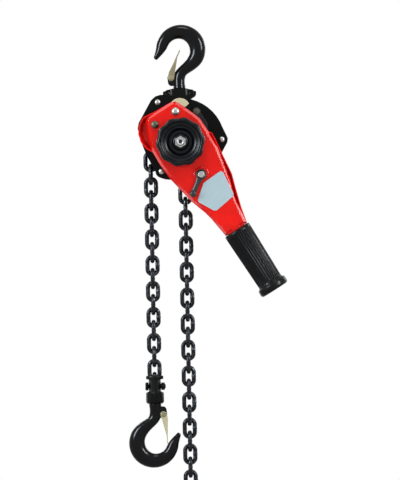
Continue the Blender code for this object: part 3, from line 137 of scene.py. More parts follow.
class Graph:
    """The nodes of one material or world."""

    def __init__(self, owner: bpy.types.Material | bpy.types.World) -> None:
        """Empty a material or a world.

        Args:
            owner: the new material or world.
        """
        self.owner = owner
        self.owner.use_nodes = True
        self.tree = self.owner.node_tree
        self.tree.nodes.clear()

    def node(self, kind: str, settings: dict | None = None, values: dict | None = None,
             output: int | str = 0) -> Value:
        """Add a node.

        Args:
            kind: the node's type.
            settings: its attributes, set first.
            values: numbers, colours or links for its inputs.
            output: which output is returned.

        Returns:
            The chosen output.
        """
        made = self.tree.nodes.new(kind)
        for name, setting in (settings or {}).items():
            setattr(made, name, setting)
        for name, value in (values or {}).items():
            if isinstance(value, Value):
                self.tree.links.new(value.socket, made.inputs[name])
            else:
                made.inputs[name].default_value = value
        return Value(self, made.outputs[output])

    def place(self, turn: Place = (0.0, 0.0, 0.0), scale: Place = (1.0, 1.0, 1.0)) -> Value:
        """Object coordinates for a pattern.

        Args:
            turn: degrees that the pattern is turned about each axis.
            scale: how far it is stretched along each axis.

        Returns:
            The coordinates.
        """
        coordinates = self.node("ShaderNodeTexCoord", output="Object")
        values = {"Vector": coordinates, "Scale": scale, "Rotation": tuple(radians(angle) for angle in turn)}
        return self.node("ShaderNodeMapping", {"vector_type": "TEXTURE"}, values)

    def noise(self, size: float, detail: float = 3.0, roughness: float = 0.5,
              vector: Value | None = None, distortion: float = 0.0) -> Value:
        """Noise from about 0 to 1.

        Args:
            size: the size of its features in millimetres.
            detail: octaves.
            roughness: weight of the finer octaves.
            vector: the coordinates, if not the plain ones.
            distortion: how far it is warped.

        Returns:
            The noise.
        """
        values = {"Vector": vector or self.place(), "Scale": 1.0 / (size * MM), "Detail": detail,
                  "Roughness": roughness, "Distortion": distortion}
        return self.node("ShaderNodeTexNoise", {"noise_dimensions": "3D"}, values)

    def mix(self, share: Value, one: Colour, two: Colour) -> Value:
        """A colour between two."""
        values = {0: share, 6: (*one, 1.0), 7: (*two, 1.0)}
        return self.node("ShaderNodeMix", {"data_type": "RGBA"}, values, output=2)

    def bump(self, height: Value, depth: float) -> Value:
        """A bump whose height of 1 stands for a depth in millimetres."""
        return self.node("ShaderNodeBump", {}, {"Height": height, "Distance": depth * MM, "Strength": 1.0})

    def end(self, kind: str, shader: Value) -> None:
        """Lead a shader into an output node."""
        last = self.tree.nodes.new(kind)
        self.tree.links.new(shader.socket, last.inputs["Surface"])

    def surface(self, values: dict) -> bpy.types.Material:
        """End the graph in a Principled shader.

        Args:
            values: the shader's inputs.

        Returns:
            The material.
        """
        self.end("ShaderNodeOutputMaterial", self.node("ShaderNodeBsdfPrincipled", {}, values))
        return self.owner


# ---------------------------------------------------------------- finishes
@dataclass(frozen=True)
class Finish:
    """A surface finish with the record's slot that it belongs to."""

    name: str
    slot: str
    colour: Colour
    roughness: float = 0.4

    def recipe(self, graph: Graph) -> dict:
        """The shader's inputs; each kind of finish has its own."""
        raise NotImplementedError

    def material(self) -> bpy.types.Material:
        """The finish as a material, made once.

        Returns:
            The material.
        """
        known = bpy.data.materials.get(self.name)
        if known is not None:
            return known
        graph = Graph(bpy.data.materials.new(self.name))
        return graph.surface(self.recipe(graph))

    def toned(self, factor: float) -> Colour:
        """The colour, darker or lighter."""
        return tuple(min(1.0, part * factor) for part in self.colour)


@dataclass(frozen=True)
class Enamel(Finish):
    """Sprayed gloss paint: soft orange peel, faint clouding and dust nibs."""

    peel: float = 0.03
    specular: float = 0.4

    def recipe(self, graph: Graph) -> dict:
        """Clouded colour over orange peel.

        Args:
            graph: the material's graph.

        Returns:
            The shader's inputs.
        """
        cloud = graph.noise(34.0, 2.0)
        fine = graph.noise(2.4, 2.0, 0.4)
        nib = graph.noise(0.9, 1.0).between(0.70, 0.78)
        colour = graph.mix(cloud.between(0.3, 0.7), self.toned(0.88), self.toned(1.08))
        normal = graph.bump(fine + nib * 0.25, self.peel)
        roughness = cloud * 0.06 + nib * 0.1 + (self.roughness - 0.03)
        return {"Base Color": colour, "Roughness": roughness, "Normal": normal,
                "Specular IOR Level": self.specular}


@dataclass(frozen=True)
class Plating(Finish):
    """Zinc plate: bright metal with spangle, faint passivation tint and rub marks."""

    tint: Colour = (0.60, 0.58, 0.45)
    share: float = 0.5
    metallic: float = 1.0

    def recipe(self, graph: Graph) -> dict:
        """Tinted clouds and short scratches on metal.

        Args:
            graph: the material's graph.

        Returns:
            The shader's inputs.
        """
        cloud = graph.noise(7.0, 3.0, 0.6)
        rub = graph.noise(1.2, 4.0, 0.7, graph.place(turn=(0, 35, 0), scale=(6.0, 1.0, 1.0)))
        colour = graph.mix(cloud.between(0.35, 0.7) * self.share, self.colour, self.tint)
        roughness = rub * 0.22 + (self.roughness - 0.10)
        normal = graph.bump(rub + cloud, 0.012)
        return {"Base Color": colour, "Roughness": roughness, "Metallic": self.metallic, "Normal": normal,
                "Specular IOR Level": 0.3}


@dataclass(frozen=True)
class Oxide(Finish):
    """Black oxide on steel wire: blue-grey, rubbed bright where links bear."""

    rubbed: Colour = (0.13, 0.14, 0.16)

    def recipe(self, graph: Graph) -> dict:
        """Patchy oxide with drawn-wire grain.

        Args:
            graph: the material's graph.

        Returns:
            The shader's inputs.
        """
        patch = graph.noise(5.0, 4.0, 0.65)
        grain = graph.noise(0.7, 3.0, 0.6)
        colour = graph.mix(patch.between(0.52, 0.80), self.colour, self.rubbed)
        roughness = grain * 0.18 + patch * 0.12 + (self.roughness - 0.15)
        return {"Base Color": colour, "Roughness": roughness, "Metallic": 0.85,
                "Normal": graph.bump(grain + patch, 0.06)}


@dataclass(frozen=True)
class Casting(Finish):
    """Cast or forged skin: pebbled, with darker pits."""

    metallic: float = 0.6

    def recipe(self, graph: Graph) -> dict:
        """Pebbles and pits.

        Args:
            graph: the material's graph.

        Returns:
            The shader's inputs.
        """
        pebble = graph.noise(1.6, 4.0, 0.6)
        pit = graph.noise(4.5, 2.0).between(0.62, 0.72)
        colour = graph.mix(pebble.between(0.35, 0.7) * (1 - pit), self.toned(0.7), self.toned(1.2))
        return {"Base Color": colour, "Roughness": pebble * 0.15 + self.roughness, "Metallic": self.metallic,
                "Normal": graph.bump(pebble - pit * 0.6, 0.14)}


@dataclass(frozen=True)
class Turned(Finish):
    """Machined steel: fine tool marks and a trace of oil."""

    def recipe(self, graph: Graph) -> dict:
        """Tool marks round the depth axis, and oil stains.

        Args:
            graph: the material's graph.

        Returns:
            The shader's inputs.
        """
        marks = graph.noise(0.35, 2.0, 0.5, graph.place(scale=(1.0, 30.0, 1.0)))
        stain = graph.noise(12.0, 3.0)
        colour = graph.mix(stain.between(0.4, 0.75), self.colour, self.toned(0.72))
        return {"Base Color": colour, "Roughness": marks * 0.16 + (self.roughness - 0.06), "Metallic": 1.0,
                "Normal": graph.bump(marks, 0.01)}


@dataclass(frozen=True)
class Moulding(Finish):
    """Moulded plastic with a fine spark-eroded grain."""

    specular: float = 0.5
    grain: float = 0.05

    def recipe(self, graph: Graph) -> dict:
        """Grain, flow clouding and scuffs.

        Args:
            graph: the material's graph.

        Returns:
            The shader's inputs.
        """
        grain = graph.noise(0.55, 3.0, 0.6)
        scuff = graph.noise(6.0, 5.0, 0.7, distortion=0.6).between(0.56, 0.74)
        colour = graph.mix(scuff * 0.5, self.colour, self.toned(1.7))
        return {"Base Color": colour, "Roughness": self.roughness + scuff * 0.12,
                "Normal": graph.bump(grain, self.grain), "Specular IOR Level": self.specular}


@dataclass(frozen=True)
class Rubber(Finish):
    """Moulded rubber: soft sheen, dusty in the hollows."""

    def recipe(self, graph: Graph) -> dict:
        """Fine grain and a dusty bloom.

        Args:
            graph: the material's graph.

        Returns:
            The shader's inputs.
        """
        grain = graph.noise(0.8, 4.0, 0.6)
        bloom = graph.noise(14.0, 4.0, 0.6).between(0.45, 0.75)
        colour = graph.mix(bloom * 0.6, self.colour, self.toned(1.9))
        return {"Base Color": colour, "Roughness": self.roughness + bloom * 0.12,
                "Normal": graph.bump(grain, 0.006), "Specular IOR Level": 0.13}


@dataclass(frozen=True)
class BrushedPlate(Finish):
    """Bare aluminium label plate, brushed along its length."""

    turn: float = 0.0

    def recipe(self, graph: Graph) -> dict:
        """Long brush lines under a matte lacquer.

        Args:
            graph: the material's graph.

        Returns:
            The shader's inputs.
        """
        lines = graph.noise(0.5, 4.0, 0.6, graph.place(turn=(0, self.turn, 0), scale=(40.0, 1.0, 1.0)))
        cloud = graph.noise(16.0, 2.0)
        colour = graph.mix(lines.between(0.3, 0.7), self.toned(0.93), self.toned(1.05))
        roughness = lines * 0.12 + cloud * 0.08 + self.roughness
        return {"Base Color": colour, "Roughness": roughness, "Metallic": 0.05,
                "Normal": graph.bump(lines, 0.006), "Specular IOR Level": 0.15}


@dataclass(frozen=True)
class Lining(Finish):
    """Pressed friction lining: speckled with fibre."""

    fibre: Colour = (0.30, 0.26, 0.20)

    def recipe(self, graph: Graph) -> dict:
        """Fibre flecks in a matte body.

        Args:
            graph: the material's graph.

        Returns:
            The shader's inputs.
        """
        fleck = graph.noise(1.1, 5.0, 0.7).between(0.52, 0.66)
        return {"Base Color": graph.mix(fleck, self.colour, self.fibre), "Roughness": self.roughness,
                "Normal": graph.bump(fleck, 0.05)}


class Finishes(Enum):
    """The finishes of the hoist."""

    HOOK = Enamel("finish_hook", "hook_black", (0.0012, 0.0014, 0.0022), 0.16, peel=0.004, specular=0.15)
    YOKE = Enamel("finish_yoke", "hook_black", (0.0020, 0.0022, 0.0026), 0.27, peel=0.05, specular=0.10)
    FRAME = Enamel("finish_frame", "frame_black", (0.0018, 0.0020, 0.0024), 0.30, peel=0.03, specular=0.08)
    RED = Enamel("finish_lever", "lever_red", (0.88, 0.009, 0.005), 0.16, peel=0.003, specular=0.16)
    CHAIN = Oxide("finish_chain", "chain_black", (0.011, 0.012, 0.015), 0.28)
    ZINC = Plating("finish_zinc", "yellow_zinc", (0.50, 0.48, 0.32), 0.44, tint=(0.50, 0.44, 0.25), share=0.6,
                   metallic=0.25)
    # A darker zinc: the colour of the latch rivets, and on the top latch a painted shade.
    DARK_ZINC = Plating("finish_dark_zinc", "yellow_zinc", (0.22, 0.20, 0.12), 0.40, tint=(0.30, 0.26, 0.15),
                        share=0.7, metallic=0.45)
    BRIGHT = Plating("finish_bright", "bright_steel", (0.36, 0.36, 0.34), 0.34, tint=(0.28, 0.28, 0.25))
    DULL = Plating("finish_dull", "bright_steel", (0.085, 0.080, 0.060), 0.42, tint=(0.060, 0.055, 0.040),
                   share=0.6)
    STEEL = Turned("finish_machined", "machined_steel", (0.36, 0.36, 0.36), 0.36)
    IRON = Casting("finish_cast", "cast_iron", (0.05, 0.05, 0.053), 0.5)
    PAWL = Casting("finish_pawl", "cast_iron", (0.010, 0.010, 0.011), 0.45)
    PLASTIC = Moulding("finish_wheel", "wheel_plastic", (0.0026, 0.0036, 0.0052), 0.30, specular=0.15)
    # Near-black steel for the ring in front of the nut and the plug in the shaft's drilled centre: painted
    # shade.
    SHADE_BLACK = Oxide("finish_shade_black", "machined_steel", (0.010, 0.010, 0.011), 0.34)
    ARM = Moulding("finish_selector", "frame_black", (0.020, 0.022, 0.023), 0.34, specular=0.35, grain=0.08)
    RUBBER = Rubber("finish_grip", "grip_rubber", (0.0020, 0.0023, 0.0028), 0.27)
    LABEL = BrushedPlate("finish_label", "label_plate", (0.44, 0.58, 0.64), 0.36, turn=-31.6)
    LINING = Lining("finish_lining", "brake_lining", (0.12, 0.09, 0.06), 0.85)


# ---------------------------------------------------------------- modelling by hand
class Facing(Enum):
    """Which way a piece's own height points in the hoist."""

    UP = Matrix.Identity(4)
    FRONT = Matrix.Rotation(pi / 2, 4, "X")
    RIGHT = Matrix.Rotation(pi / 2, 4, "Y")


@dataclass(frozen=True)
class Seat:
    """Where a sub-assembly sits: a point in x and z, and a clockwise turn seen from the front."""

    x: float
    z: float
    turn: float = 0.0

    def matrix(self, at: Point = (0.0, 0.0), facing: Facing = Facing.UP) -> Matrix:
        """Place of something in the sub-assembly.

        Args:
            at: a point of the sub-assembly.
            facing: which way the thing's own height points.

        Returns:
            The place in the hoist.
        """
        turned = Matrix.Rotation(radians(self.turn), 4, "Y")
        seat = Matrix.Translation((self.x * MM, 0.0, self.z * MM)) @ turned
        return seat @ Matrix.Translation((at[0] * MM, 0.0, at[1] * MM)) @ facing.value

    def beyond(self, at: Point, turn: float) -> Seat:
        """A seat at a point of this one, turned further."""
        place = self.matrix(at).translation / MM
        return Seat(place.x, place.z, self.turn + turn)


@dataclass(frozen=True)
class Ring:
    """One cross-section of a swept body, square to its run in x and z.

    Its width is its reach where none is given, and its flute is a share of the reach.
    """

    at: Point
    reach: float
    width: float | None = None
    turn: float = 0.0
    flute: float = 0.0

    @property
    def depth(self) -> float:
        """Half its size along Y."""
        return self.reach if self.width is None else self.width


class Bench:
    """Blender's modelling operators, used on one piece at a time."""

    MERGE = 0.002 * MM
    MERGE_PACKED = 0.01 * MM
    FLAT_ANGLE = 0.8
    SOFT_ANGLE = 45.0

    @staticmethod
    def clear() -> None:
        """Leave edit mode and deselect everything."""
        if bpy.context.mode != "OBJECT":
            bpy.ops.object.mode_set(mode="OBJECT")
        bpy.ops.object.select_all(action="DESELECT")

    @classmethod
    def hold(cls, piece: bpy.types.Object, edit: bool = False) -> None:
        """Select one piece alone.

        Args:
            piece: the piece.
            edit: it is opened, with all its corners selected.
        """
        cls.clear()
        piece.select_set(True)
        bpy.context.view_layer.objects.active = piece
        if edit:
            bpy.ops.object.mode_set(mode="EDIT")
            bpy.ops.mesh.select_mode(type="VERT")
            bpy.ops.mesh.select_all(action="SELECT")

    @staticmethod
    def pick(piece: bpy.types.Object, wanted: Callable[[Vector], bool], faces: bool = False) -> None:
        """Select a part of an open piece.

        Args:
            piece: the piece.
            wanted: says of a place whether what lies there is picked.
            faces: faces are picked by their centre, in place of corners.
        """
        bpy.ops.mesh.select_mode(type="FACE" if faces else "VERT")
        bpy.ops.mesh.select_all(action="DESELECT")
        bpy.ops.object.mode_set(mode="OBJECT")
        if faces:
            for polygon in piece.data.polygons:
                polygon.select = wanted(polygon.center)
        else:
            for corner in piece.data.vertices:
                corner.select = wanted(corner.co)
        bpy.ops.object.mode_set(mode="EDIT")

    @staticmethod
    def shift(x: float = 0.0, y: float = 0.0) -> None:
        """Move what is selected, in millimetres."""
        bpy.ops.transform.translate(value=(x * MM, y * MM, 0.0))

    @staticmethod
    def stretch(factors: Place, centre: Place) -> None:
        """Resize what is selected about a centre in millimetres."""
        bpy.ops.transform.resize(value=factors, orient_type="GLOBAL",
                                 center_override=tuple(part * MM for part in centre))

    @staticmethod
    def lean(angle: float, centre: Place) -> None:
        """Turn what is selected clockwise, seen from the front; the operator turns the other way here."""
        bpy.ops.transform.rotate(value=-radians(angle), orient_axis="Y", orient_type="GLOBAL",
                                 center_override=tuple(part * MM for part in centre))

    @classmethod
    def modify(cls, piece: bpy.types.Object, kind: str, **settings: object) -> None:
        """Add a modifier and apply it.

        Args:
            piece: the piece.
            kind: the modifier's type.
            settings: its attributes.
        """
        cls.hold(piece)
        bpy.ops.object.modifier_add(type=kind)
        added = piece.modifiers[-1]
        for name, value in settings.items():
            setattr(added, name, value)
        bpy.ops.object.modifier_apply(modifier=added.name)

    @classmethod
    def settle(cls, piece: bpy.types.Object, matrix: Matrix) -> None:
        """Put a place into the mesh of a piece.

        Args:
            piece: the piece.
            matrix: its place.
        """
        cls.hold(piece)
        piece.matrix_world = matrix
        bpy.ops.object.transform_apply(location=True, rotation=True, scale=True)

    @classmethod
    def bevel(cls, piece: bpy.types.Object, width: float, segments: int, angle: float) -> None:
        """Round the edges of a piece.

        Args:
            piece: the piece.
            width: the rounding in millimetres.
            segments: steps across the rounding.
            angle: edges sharper than this are rounded.
        """
        cls.modify(piece, "BEVEL", width=width * MM, segments=segments, limit_method="ANGLE",
                   angle_limit=radians(angle))

    @classmethod
    def close(cls, piece: bpy.types.Object, matrix: Matrix, smooth: float = 40.0) -> bpy.types.Object:
        """Merge doubles, point the faces outwards, put the place into the mesh and smooth it.

        Args:
            piece: the piece, drawn at the origin.
            matrix: its place.
            smooth: edges under this angle are smoothed.

        Returns:
            The piece.
        """
        cls.hold(piece, edit=True)
        bpy.ops.mesh.remove_doubles(threshold=cls.MERGE)
        bpy.ops.mesh.normals_make_consistent(inside=False)
        cls.settle(piece, matrix)
        bpy.ops.object.shade_smooth_by_angle(angle=radians(smooth))
        return piece

    @classmethod
    def sweep(cls, name: str, rings: Sequence[Ring], sides: int, lobes: int = 0,
              hollow: bool = False) -> bpy.types.Object:
        """Draw a body ring by ring: a circle is extruded, turned and resized along its run.

        Args:
            name: the piece's name.
            rings: its cross-sections in order.
            sides: corners of each.
            lobes: how many flutes or scallops go round, if any.
            hollow: the last ring meets the first, which makes a ring-shaped body.

        Returns:
            The open-ended piece, at the origin.
        """
        cls.clear()
        fill = "NOTHING" if hollow else "NGON"
        bpy.ops.mesh.primitive_circle_add(vertices=sides, radius=MM, fill_type=fill)
        piece = bpy.context.object
        piece.name = name
        cls.hold(piece, edit=True)
        past = Ring((0.0, 0.0), 1.0)
        for number, ring in enumerate(rings):
            centre = (ring.at[0], 0.0, ring.at[1])
            step = tuple((new - old) * MM for new, old in zip(centre, (past.at[0], 0.0, past.at[1])))
            if number:
                bpy.ops.mesh.extrude_region_move(TRANSFORM_OT_translate={"value": step})
            else:
                bpy.ops.transform.translate(value=step)
            if ring.turn != past.turn:
                cls.lean(ring.turn - past.turn, centre)
            grow = ring.reach / past.reach
            cls.stretch((grow, ring.depth / past.depth, grow), centre)
            if ring.flute != past.flute:
                cls.scallop(piece, ring, lobes, past.flute)
            past = ring
        return piece

    @classmethod
    def scallop(cls, piece: bpy.types.Object, ring: Ring, lobes: int, past: float) -> None:
        """Pull in the last ring between its lobes.

        Args:
            piece: the open piece, with the ring selected.
            ring: the ring.
            lobes: how many lobes go round.
            past: the flute that the ring has already.
        """
        bpy.ops.object.mode_set(mode="OBJECT")
        corners = [corner.index for corner in piece.data.vertices if corner.select]
        groups: dict[float, list[int]] = {}
        for index in corners:
            place = piece.data.vertices[index].co
            swing = round((1 - cos(lobes * atan2(place.y, place.x - ring.at[0] * MM))) / 2, 4)
            groups.setdefault(swing, []).append(index)
        for swing, members in groups.items():
            if swing < 1e-4:
                continue
            for part in (*piece.data.vertices, *piece.data.edges, *piece.data.polygons):
                part.select = False
            for index in members:
                piece.data.vertices[index].select = True
            bpy.ops.object.mode_set(mode="EDIT")
            factor = (1 - ring.flute * swing) / (1 - past * swing)
            cls.stretch((factor, factor, 1.0), (ring.at[0], 0.0, ring.at[1]))
            bpy.ops.object.mode_set(mode="OBJECT")
        for index in corners:
            piece.data.vertices[index].select = True
        bpy.ops.object.mode_set(mode="EDIT")

    @classmethod
    def turned(cls, name: str, profile: Sequence[Point], matrix: Matrix, sides: int,
               hollow: bool = False, rounding: float = 0.0) -> bpy.types.Object:
        """A lathe-turned piece.

        Args:
            name: the piece's name.
            profile: its (radius, height) pairs in order.
            matrix: its place.
            sides: corners of each ring.
            hollow: the profile is a closed loop.
            rounding: how far its edges are rounded, in millimetres.

        Returns:
            The piece, in place.
        """
        rings = [Ring((0.0, height), radius) for radius, height in profile]
        piece = cls.sweep(name, rings, sides, hollow=hollow)
        if rounding:
            cls.bevel(piece, rounding, segments=3, angle=40.0)
        return cls.close(piece, matrix)

    @classmethod
    def cut(cls, piece: bpy.types.Object, place: Place, away: Vector) -> bpy.types.Object:
        """Cut off what lies beyond a plane and close the cut.

        Args:
            piece: the piece.
            place: a point of the plane, in millimetres.
            away: the plane's normal, which points at what goes.

        Returns:
            The piece.
        """
        cls.hold(piece, edit=True)
        bpy.ops.mesh.bisect(plane_co=tuple(part * MM for part in place), plane_no=away, clear_outer=True,
                            use_fill=True)
        bpy.ops.mesh.customdata_custom_splitnormals_clear()
        cls.hold(piece)
        bpy.ops.object.shade_smooth_by_angle(angle=radians(cls.SOFT_ANGLE))
        return piece

    @classmethod
    def rounded(cls, node: bpy.types.Object, name: str, width: float, segments: int, angle: float,
                shape: Shaping | None = None) -> bpy.types.Object:
        """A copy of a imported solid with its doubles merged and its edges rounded.

        Args:
            node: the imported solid, which stays as it is.
            name: the new piece's name.
            width: the rounding in millimetres.
            segments: steps across the rounding.
            angle: edges sharper than this are rounded.
            shape: what is done to the open copy before its edges are rounded.

        Returns:
            The rounded copy, in the solid's place.
        """
        piece = node.copy()
        piece.data = node.data.copy()
        piece.name = name
        piece.parent = None
        for key in list(piece.keys()):
            del piece[key]
        bpy.context.scene.collection.objects.link(piece)
        cls.hold(piece, edit=True)
        bpy.ops.mesh.remove_doubles(threshold=cls.MERGE_PACKED)
        bpy.ops.mesh.customdata_custom_splitnormals_clear()
        bpy.ops.mesh.mark_sharp(clear=True)
        bpy.ops.mesh.dissolve_limited(angle_limit=radians(cls.FLAT_ANGLE))
        if shape is not None:
            shape(piece)
        cls.bevel(piece, width, segments, angle)
        cls.hold(piece)
        bpy.ops.object.shade_smooth_by_angle(angle=radians(cls.SOFT_ANGLE))
        cls.modify(piece, "WEIGHTED_NORMAL", keep_sharp=True, weight=80)
        return piece

    @classmethod
    def joined(cls, name: str, pieces: Sequence[bpy.types.Object]) -> bpy.types.Object:
        """Several pieces as one object, each still its own shell.

        Args:
            name: the object's name.
            pieces: the pieces, which it takes in.

        Returns:
            The object.
        """
        cls.clear()
        for piece in pieces:
            piece.select_set(True)
        bpy.context.view_layer.objects.active = pieces[0]
        bpy.ops.object.join()
        pieces[0].name = name
        return pieces[0]

    @classmethod
    def twin(cls, piece: bpy.types.Object, name: str, matrix: Matrix) -> bpy.types.Object:
        """A copy with its own mesh.

        Args:
            piece: what is copied.
            name: the copy's name.
            matrix: the copy's place.

        Returns:
            The copy.
        """
        made = piece.copy()
        made.data = piece.data.copy()
        made.name = name
        bpy.context.scene.collection.objects.link(made)
        cls.settle(made, matrix)
        return made


# ---------------------------------------------------------------- the hoist
FRAME_LEAN = 30.0
LEVER_SWING = -61.6
LOAD_LINE = -48.987
TOP_SHOULDER = -80.9
TOP_SADDLE = Seat(0.0, 0.0)
BOTTOM_SADDLE = Seat(LOAD_LINE, -669.632, 180.0)
HUB = Seat(0.28890, -168.39959, FRAME_LEAN)
LEVER = Seat(HUB.x, HUB.z, FRAME_LEAN + LEVER_SWING)
LOAD_EXIT = Seat(LOAD_LINE, -191.432)
SLACK_EXIT = Seat(6.141, -217.068)
CHAIN_BOLT = Seat(LOAD_LINE, -560.732)


@dataclass
class Workshop:
    """The loaded frame, and the hand-over of finished pieces to it."""

    frame: dict
    made: int = 0

    def deliver(self, piece: bpy.types.Object, body: str, finish: Finishes, *stands_for: str) -> None:
        """Dress a new piece and let it ride on a body.

        Args:
            piece: the finished piece, at the origin.
            body: the body it moves with.
            finish: its finish.
            stands_for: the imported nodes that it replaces.
        """
        piece.data.materials.clear()
        piece.data.materials.append(finish.value.material())
        for polygon in piece.data.polygons:
            polygon.material_index = 0
        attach(piece, body)
        if stands_for:
            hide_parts(*stands_for)
        self.made += 1
        log.info("%s on %s, %d faces", piece.name, body, len(piece.data.polygons))

    def dress(self, finish: Finishes, *nodes: str) -> None:
        """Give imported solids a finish.

        Args:
            finish: the finish.
            nodes: the solids' names.
        """
        for name in nodes:
            for slot in self.frame["nodes"][name].material_slots:
                slot.material = finish.value.material()
            log.info("%s dressed as %s", name, finish.name.lower())

    def copy_of(self, node: str, width: float, segments: int, angle: float = 30.0,
                shape: Shaping | None = None) -> bpy.types.Object:
        """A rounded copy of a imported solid, named after it; see Bench.rounded."""
        return Bench.rounded(self.frame["nodes"][node], f"{node}_rounded", width, segments, angle, shape)

    def round_off(self, node: str, body: str, finish: Finishes, width: float, segments: int,
                  angle: float = 30.0) -> None:
        """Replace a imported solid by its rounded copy."""
        self.deliver(self.copy_of(node, width, segments, angle), body, finish, node)


@dataclass
class Hooks:
    """The forged safety hooks with their latches and swivelling shanks, drawn from their saddle."""

    shop: Workshop
    bowl_radius: float = 19.0
    bowl_start: float = -25.0
    bowl_sweep: float = 186.0
    bowl_steps: int = 11
    back_radius: float = 40.4
    back_offset: Point = (3.3, 1.8)
    flatness: float = 0.8
    shank_radius: float = 10.0
    neck_radius: float = 6.0
    button_radius: float = 9.5
    shoulder: float = -80.6
    neck_length: float = 5.8
    button_length: float = 6.2
    latch_pivot: Point = (-13.3, -63.5)
    swell: float = 1.045
    heavy_wall: float = 1.2
    heavy_angle: float = 15.0
    heavy_fade: float = 1.6
    heavy_inside: float = 0.9
    heavy_outside: float = 0.35
    lug_radius: float = 5.9
    lug_reach: float = 6.6
    lug_length: float = 9.0
    lug_drop: float = 7.0
    lug_edge: float = 0.8

    def section(self, inner: Point, outer: Point, flatness: float, past: float) -> Ring:
        """A ring between two edges of the forging.

        Args:
            inner: a point of the inner edge.
            outer: the point of the outer edge that lies across from it.
            flatness: the ring's width as a share of its reach.
            past: the turn of the ring before, which this one's stays close to.

        Returns:
            The ring, drawn large enough for the smoothing that follows.
        """
        centre = ((inner[0] + outer[0]) / 2, (inner[1] + outer[1]) / 2)
        half = hypot(outer[0] - inner[0], outer[1] - inner[1]) / 2 * self.swell
        turn = -degrees(atan2(outer[1] - inner[1], outer[0] - inner[0]))
        while turn - past > 180.0:
            turn -= 360.0
        while turn - past < -180.0:
            turn += 360.0
        return Ring(centre, half, half * flatness, turn)

    def bowl_edges(self, angle: float) -> tuple[Point, Point]:
        """Both edges of the bowl, whose wall is heaviest at its back.

        Args:
            angle: direction from the bowl's centre, anticlockwise from the right.

        Returns:
            The inner and the outer edge.
        """
        along = (cos(radians(angle)), sin(radians(angle)))
        offset = along[0] * self.back_offset[0] + along[1] * self.back_offset[1]
        square = offset**2 - self.back_offset[0] ** 2 - self.back_offset[1] ** 2 + self.back_radius**2
        heavy = self.heavy_wall * max(0.0, cos(radians((angle - self.heavy_angle) * self.heavy_fade)))
        reach = offset + square**0.5 + heavy * self.heavy_outside
        inner = self.bowl_radius - heavy * self.heavy_inside
        drop = -self.bowl_radius
        return ((inner * along[0], drop + inner * along[1]), (reach * along[0], drop + reach * along[1]))

    def forging(self) -> bpy.types.Object:
        """The hook from its button to its point, at the origin.

        The shank and the tip are given by inner edge, outer edge and flatness.

        Returns:
            The smoothed forging.
        """
        button, narrow, wide, top = self.button_radius, self.neck_radius, self.shank_radius, self.shoulder
        neck = top - self.neck_length
        foot = neck - self.button_length
        turned = [(foot, button * 0.7), (foot, button * 0.95), (foot + 0.6, button), (neck - 0.4, button),
                  (neck, button), (neck, narrow + 0.3), (neck + 0.4, narrow), (top - 0.5, narrow),
                  (top, narrow + 0.5), (top, wide - 0.8), (top + 0.3, wide), (top + 1.5, wide)]
        rings = [Ring((0.0, z), radius * self.swell) for z, radius in turned]
        shank = [((-9.6, -73.0), (9.0, -73.0), 0.95), ((-9.4, -68.0), (8.8, -68.0), 0.9),
                 ((-9.0, -60.0), (9.8, -60.0), 0.87), ((-6.0, -51.5), (14.5, -56.5), 0.8),
                 ((4.0, -42.5), (24.5, -51.0), 0.78), ((11.8, -35.2), (33.4, -43.7), 0.78)]
        for edges in shank:
            rings.append(self.section(*edges, rings[-1].turn))
        for step in range(self.bowl_steps + 1):
            angle = self.bowl_start + self.bowl_sweep * step / self.bowl_steps
            rings.append(self.section(*self.bowl_edges(angle), self.flatness, rings[-1].turn))
        tip = [((-18.7, -14.4), (-36.4, -11.8), 0.80), ((-19.8, -16.7), (-36.7, -14.8), 0.80),
               ((-21.6, -19.0), (-37.3, -17.4), 0.82), ((-25.9, -24.3), (-38.4, -21.6), 0.86),
               ((-31.2, -29.5), (-39.6, -25.8), 0.90), ((-34.6, -32.9), (-40.5, -28.8), 0.92),
               ((-36.0, -33.8), (-40.5, -30.4), 0.92), ((-37.3, -33.6), (-39.7, -32.1), 0.90)]
        for edges in tip:
            rings.append(self.section(*edges, rings[-1].turn))
        piece = Bench.sweep("hook_forging", rings, 12)
        Bench.modify(piece, "SUBSURF", levels=2, render_levels=2)
        return Bench.close(piece, Matrix.Identity(4), smooth=60.0)

    def lug(self) -> bpy.types.Object:
        """The ear beside the shank that carries the latch pin, at the origin.

        Returns:
            The ear.
        """
        half, reach, edge = self.lug_radius, self.lug_reach, self.lug_edge
        x, z = self.latch_pivot
        rings = [(half - edge, -reach), (half, -reach + edge), (half, reach - edge), (half - edge, reach)]
        piece = Bench.sweep("hook_lug", [Ring((0.0, height), radius) for radius, height in rings], 24)
        Bench.pick(piece, lambda corner: corner.x > 0.5 * MM)
        Bench.shift(x=self.lug_length)
        Bench.pick(piece, lambda corner: corner.y < -0.5 * MM)
        Bench.shift(x=edge, y=-self.lug_drop)
        return Bench.close(piece, Matrix.Translation((x * MM, 0.0, z * MM)) @ Facing.FRONT.value)

    def latch_pin(self, name: str, seat: Seat) -> bpy.types.Object:
        """Pin with a headed and a peened end.

        Args:
            name: the pin's name.
            seat: the hook's saddle.

        Returns:
            The pin, in place.
        """
        profile = [(2.0, -10.4), (3.4, -10.4), (4.0, -9.9), (4.0, -9.1), (2.0, -9.0), (2.0, 9.0), (4.4, 9.1),
                   (4.4, 9.6), (3.0, 9.7), (2.8, 10.3), (1.4, 10.4)]
        return Bench.turned(name, profile, seat.matrix(self.latch_pivot, Facing.FRONT), 24, rounding=0.15)

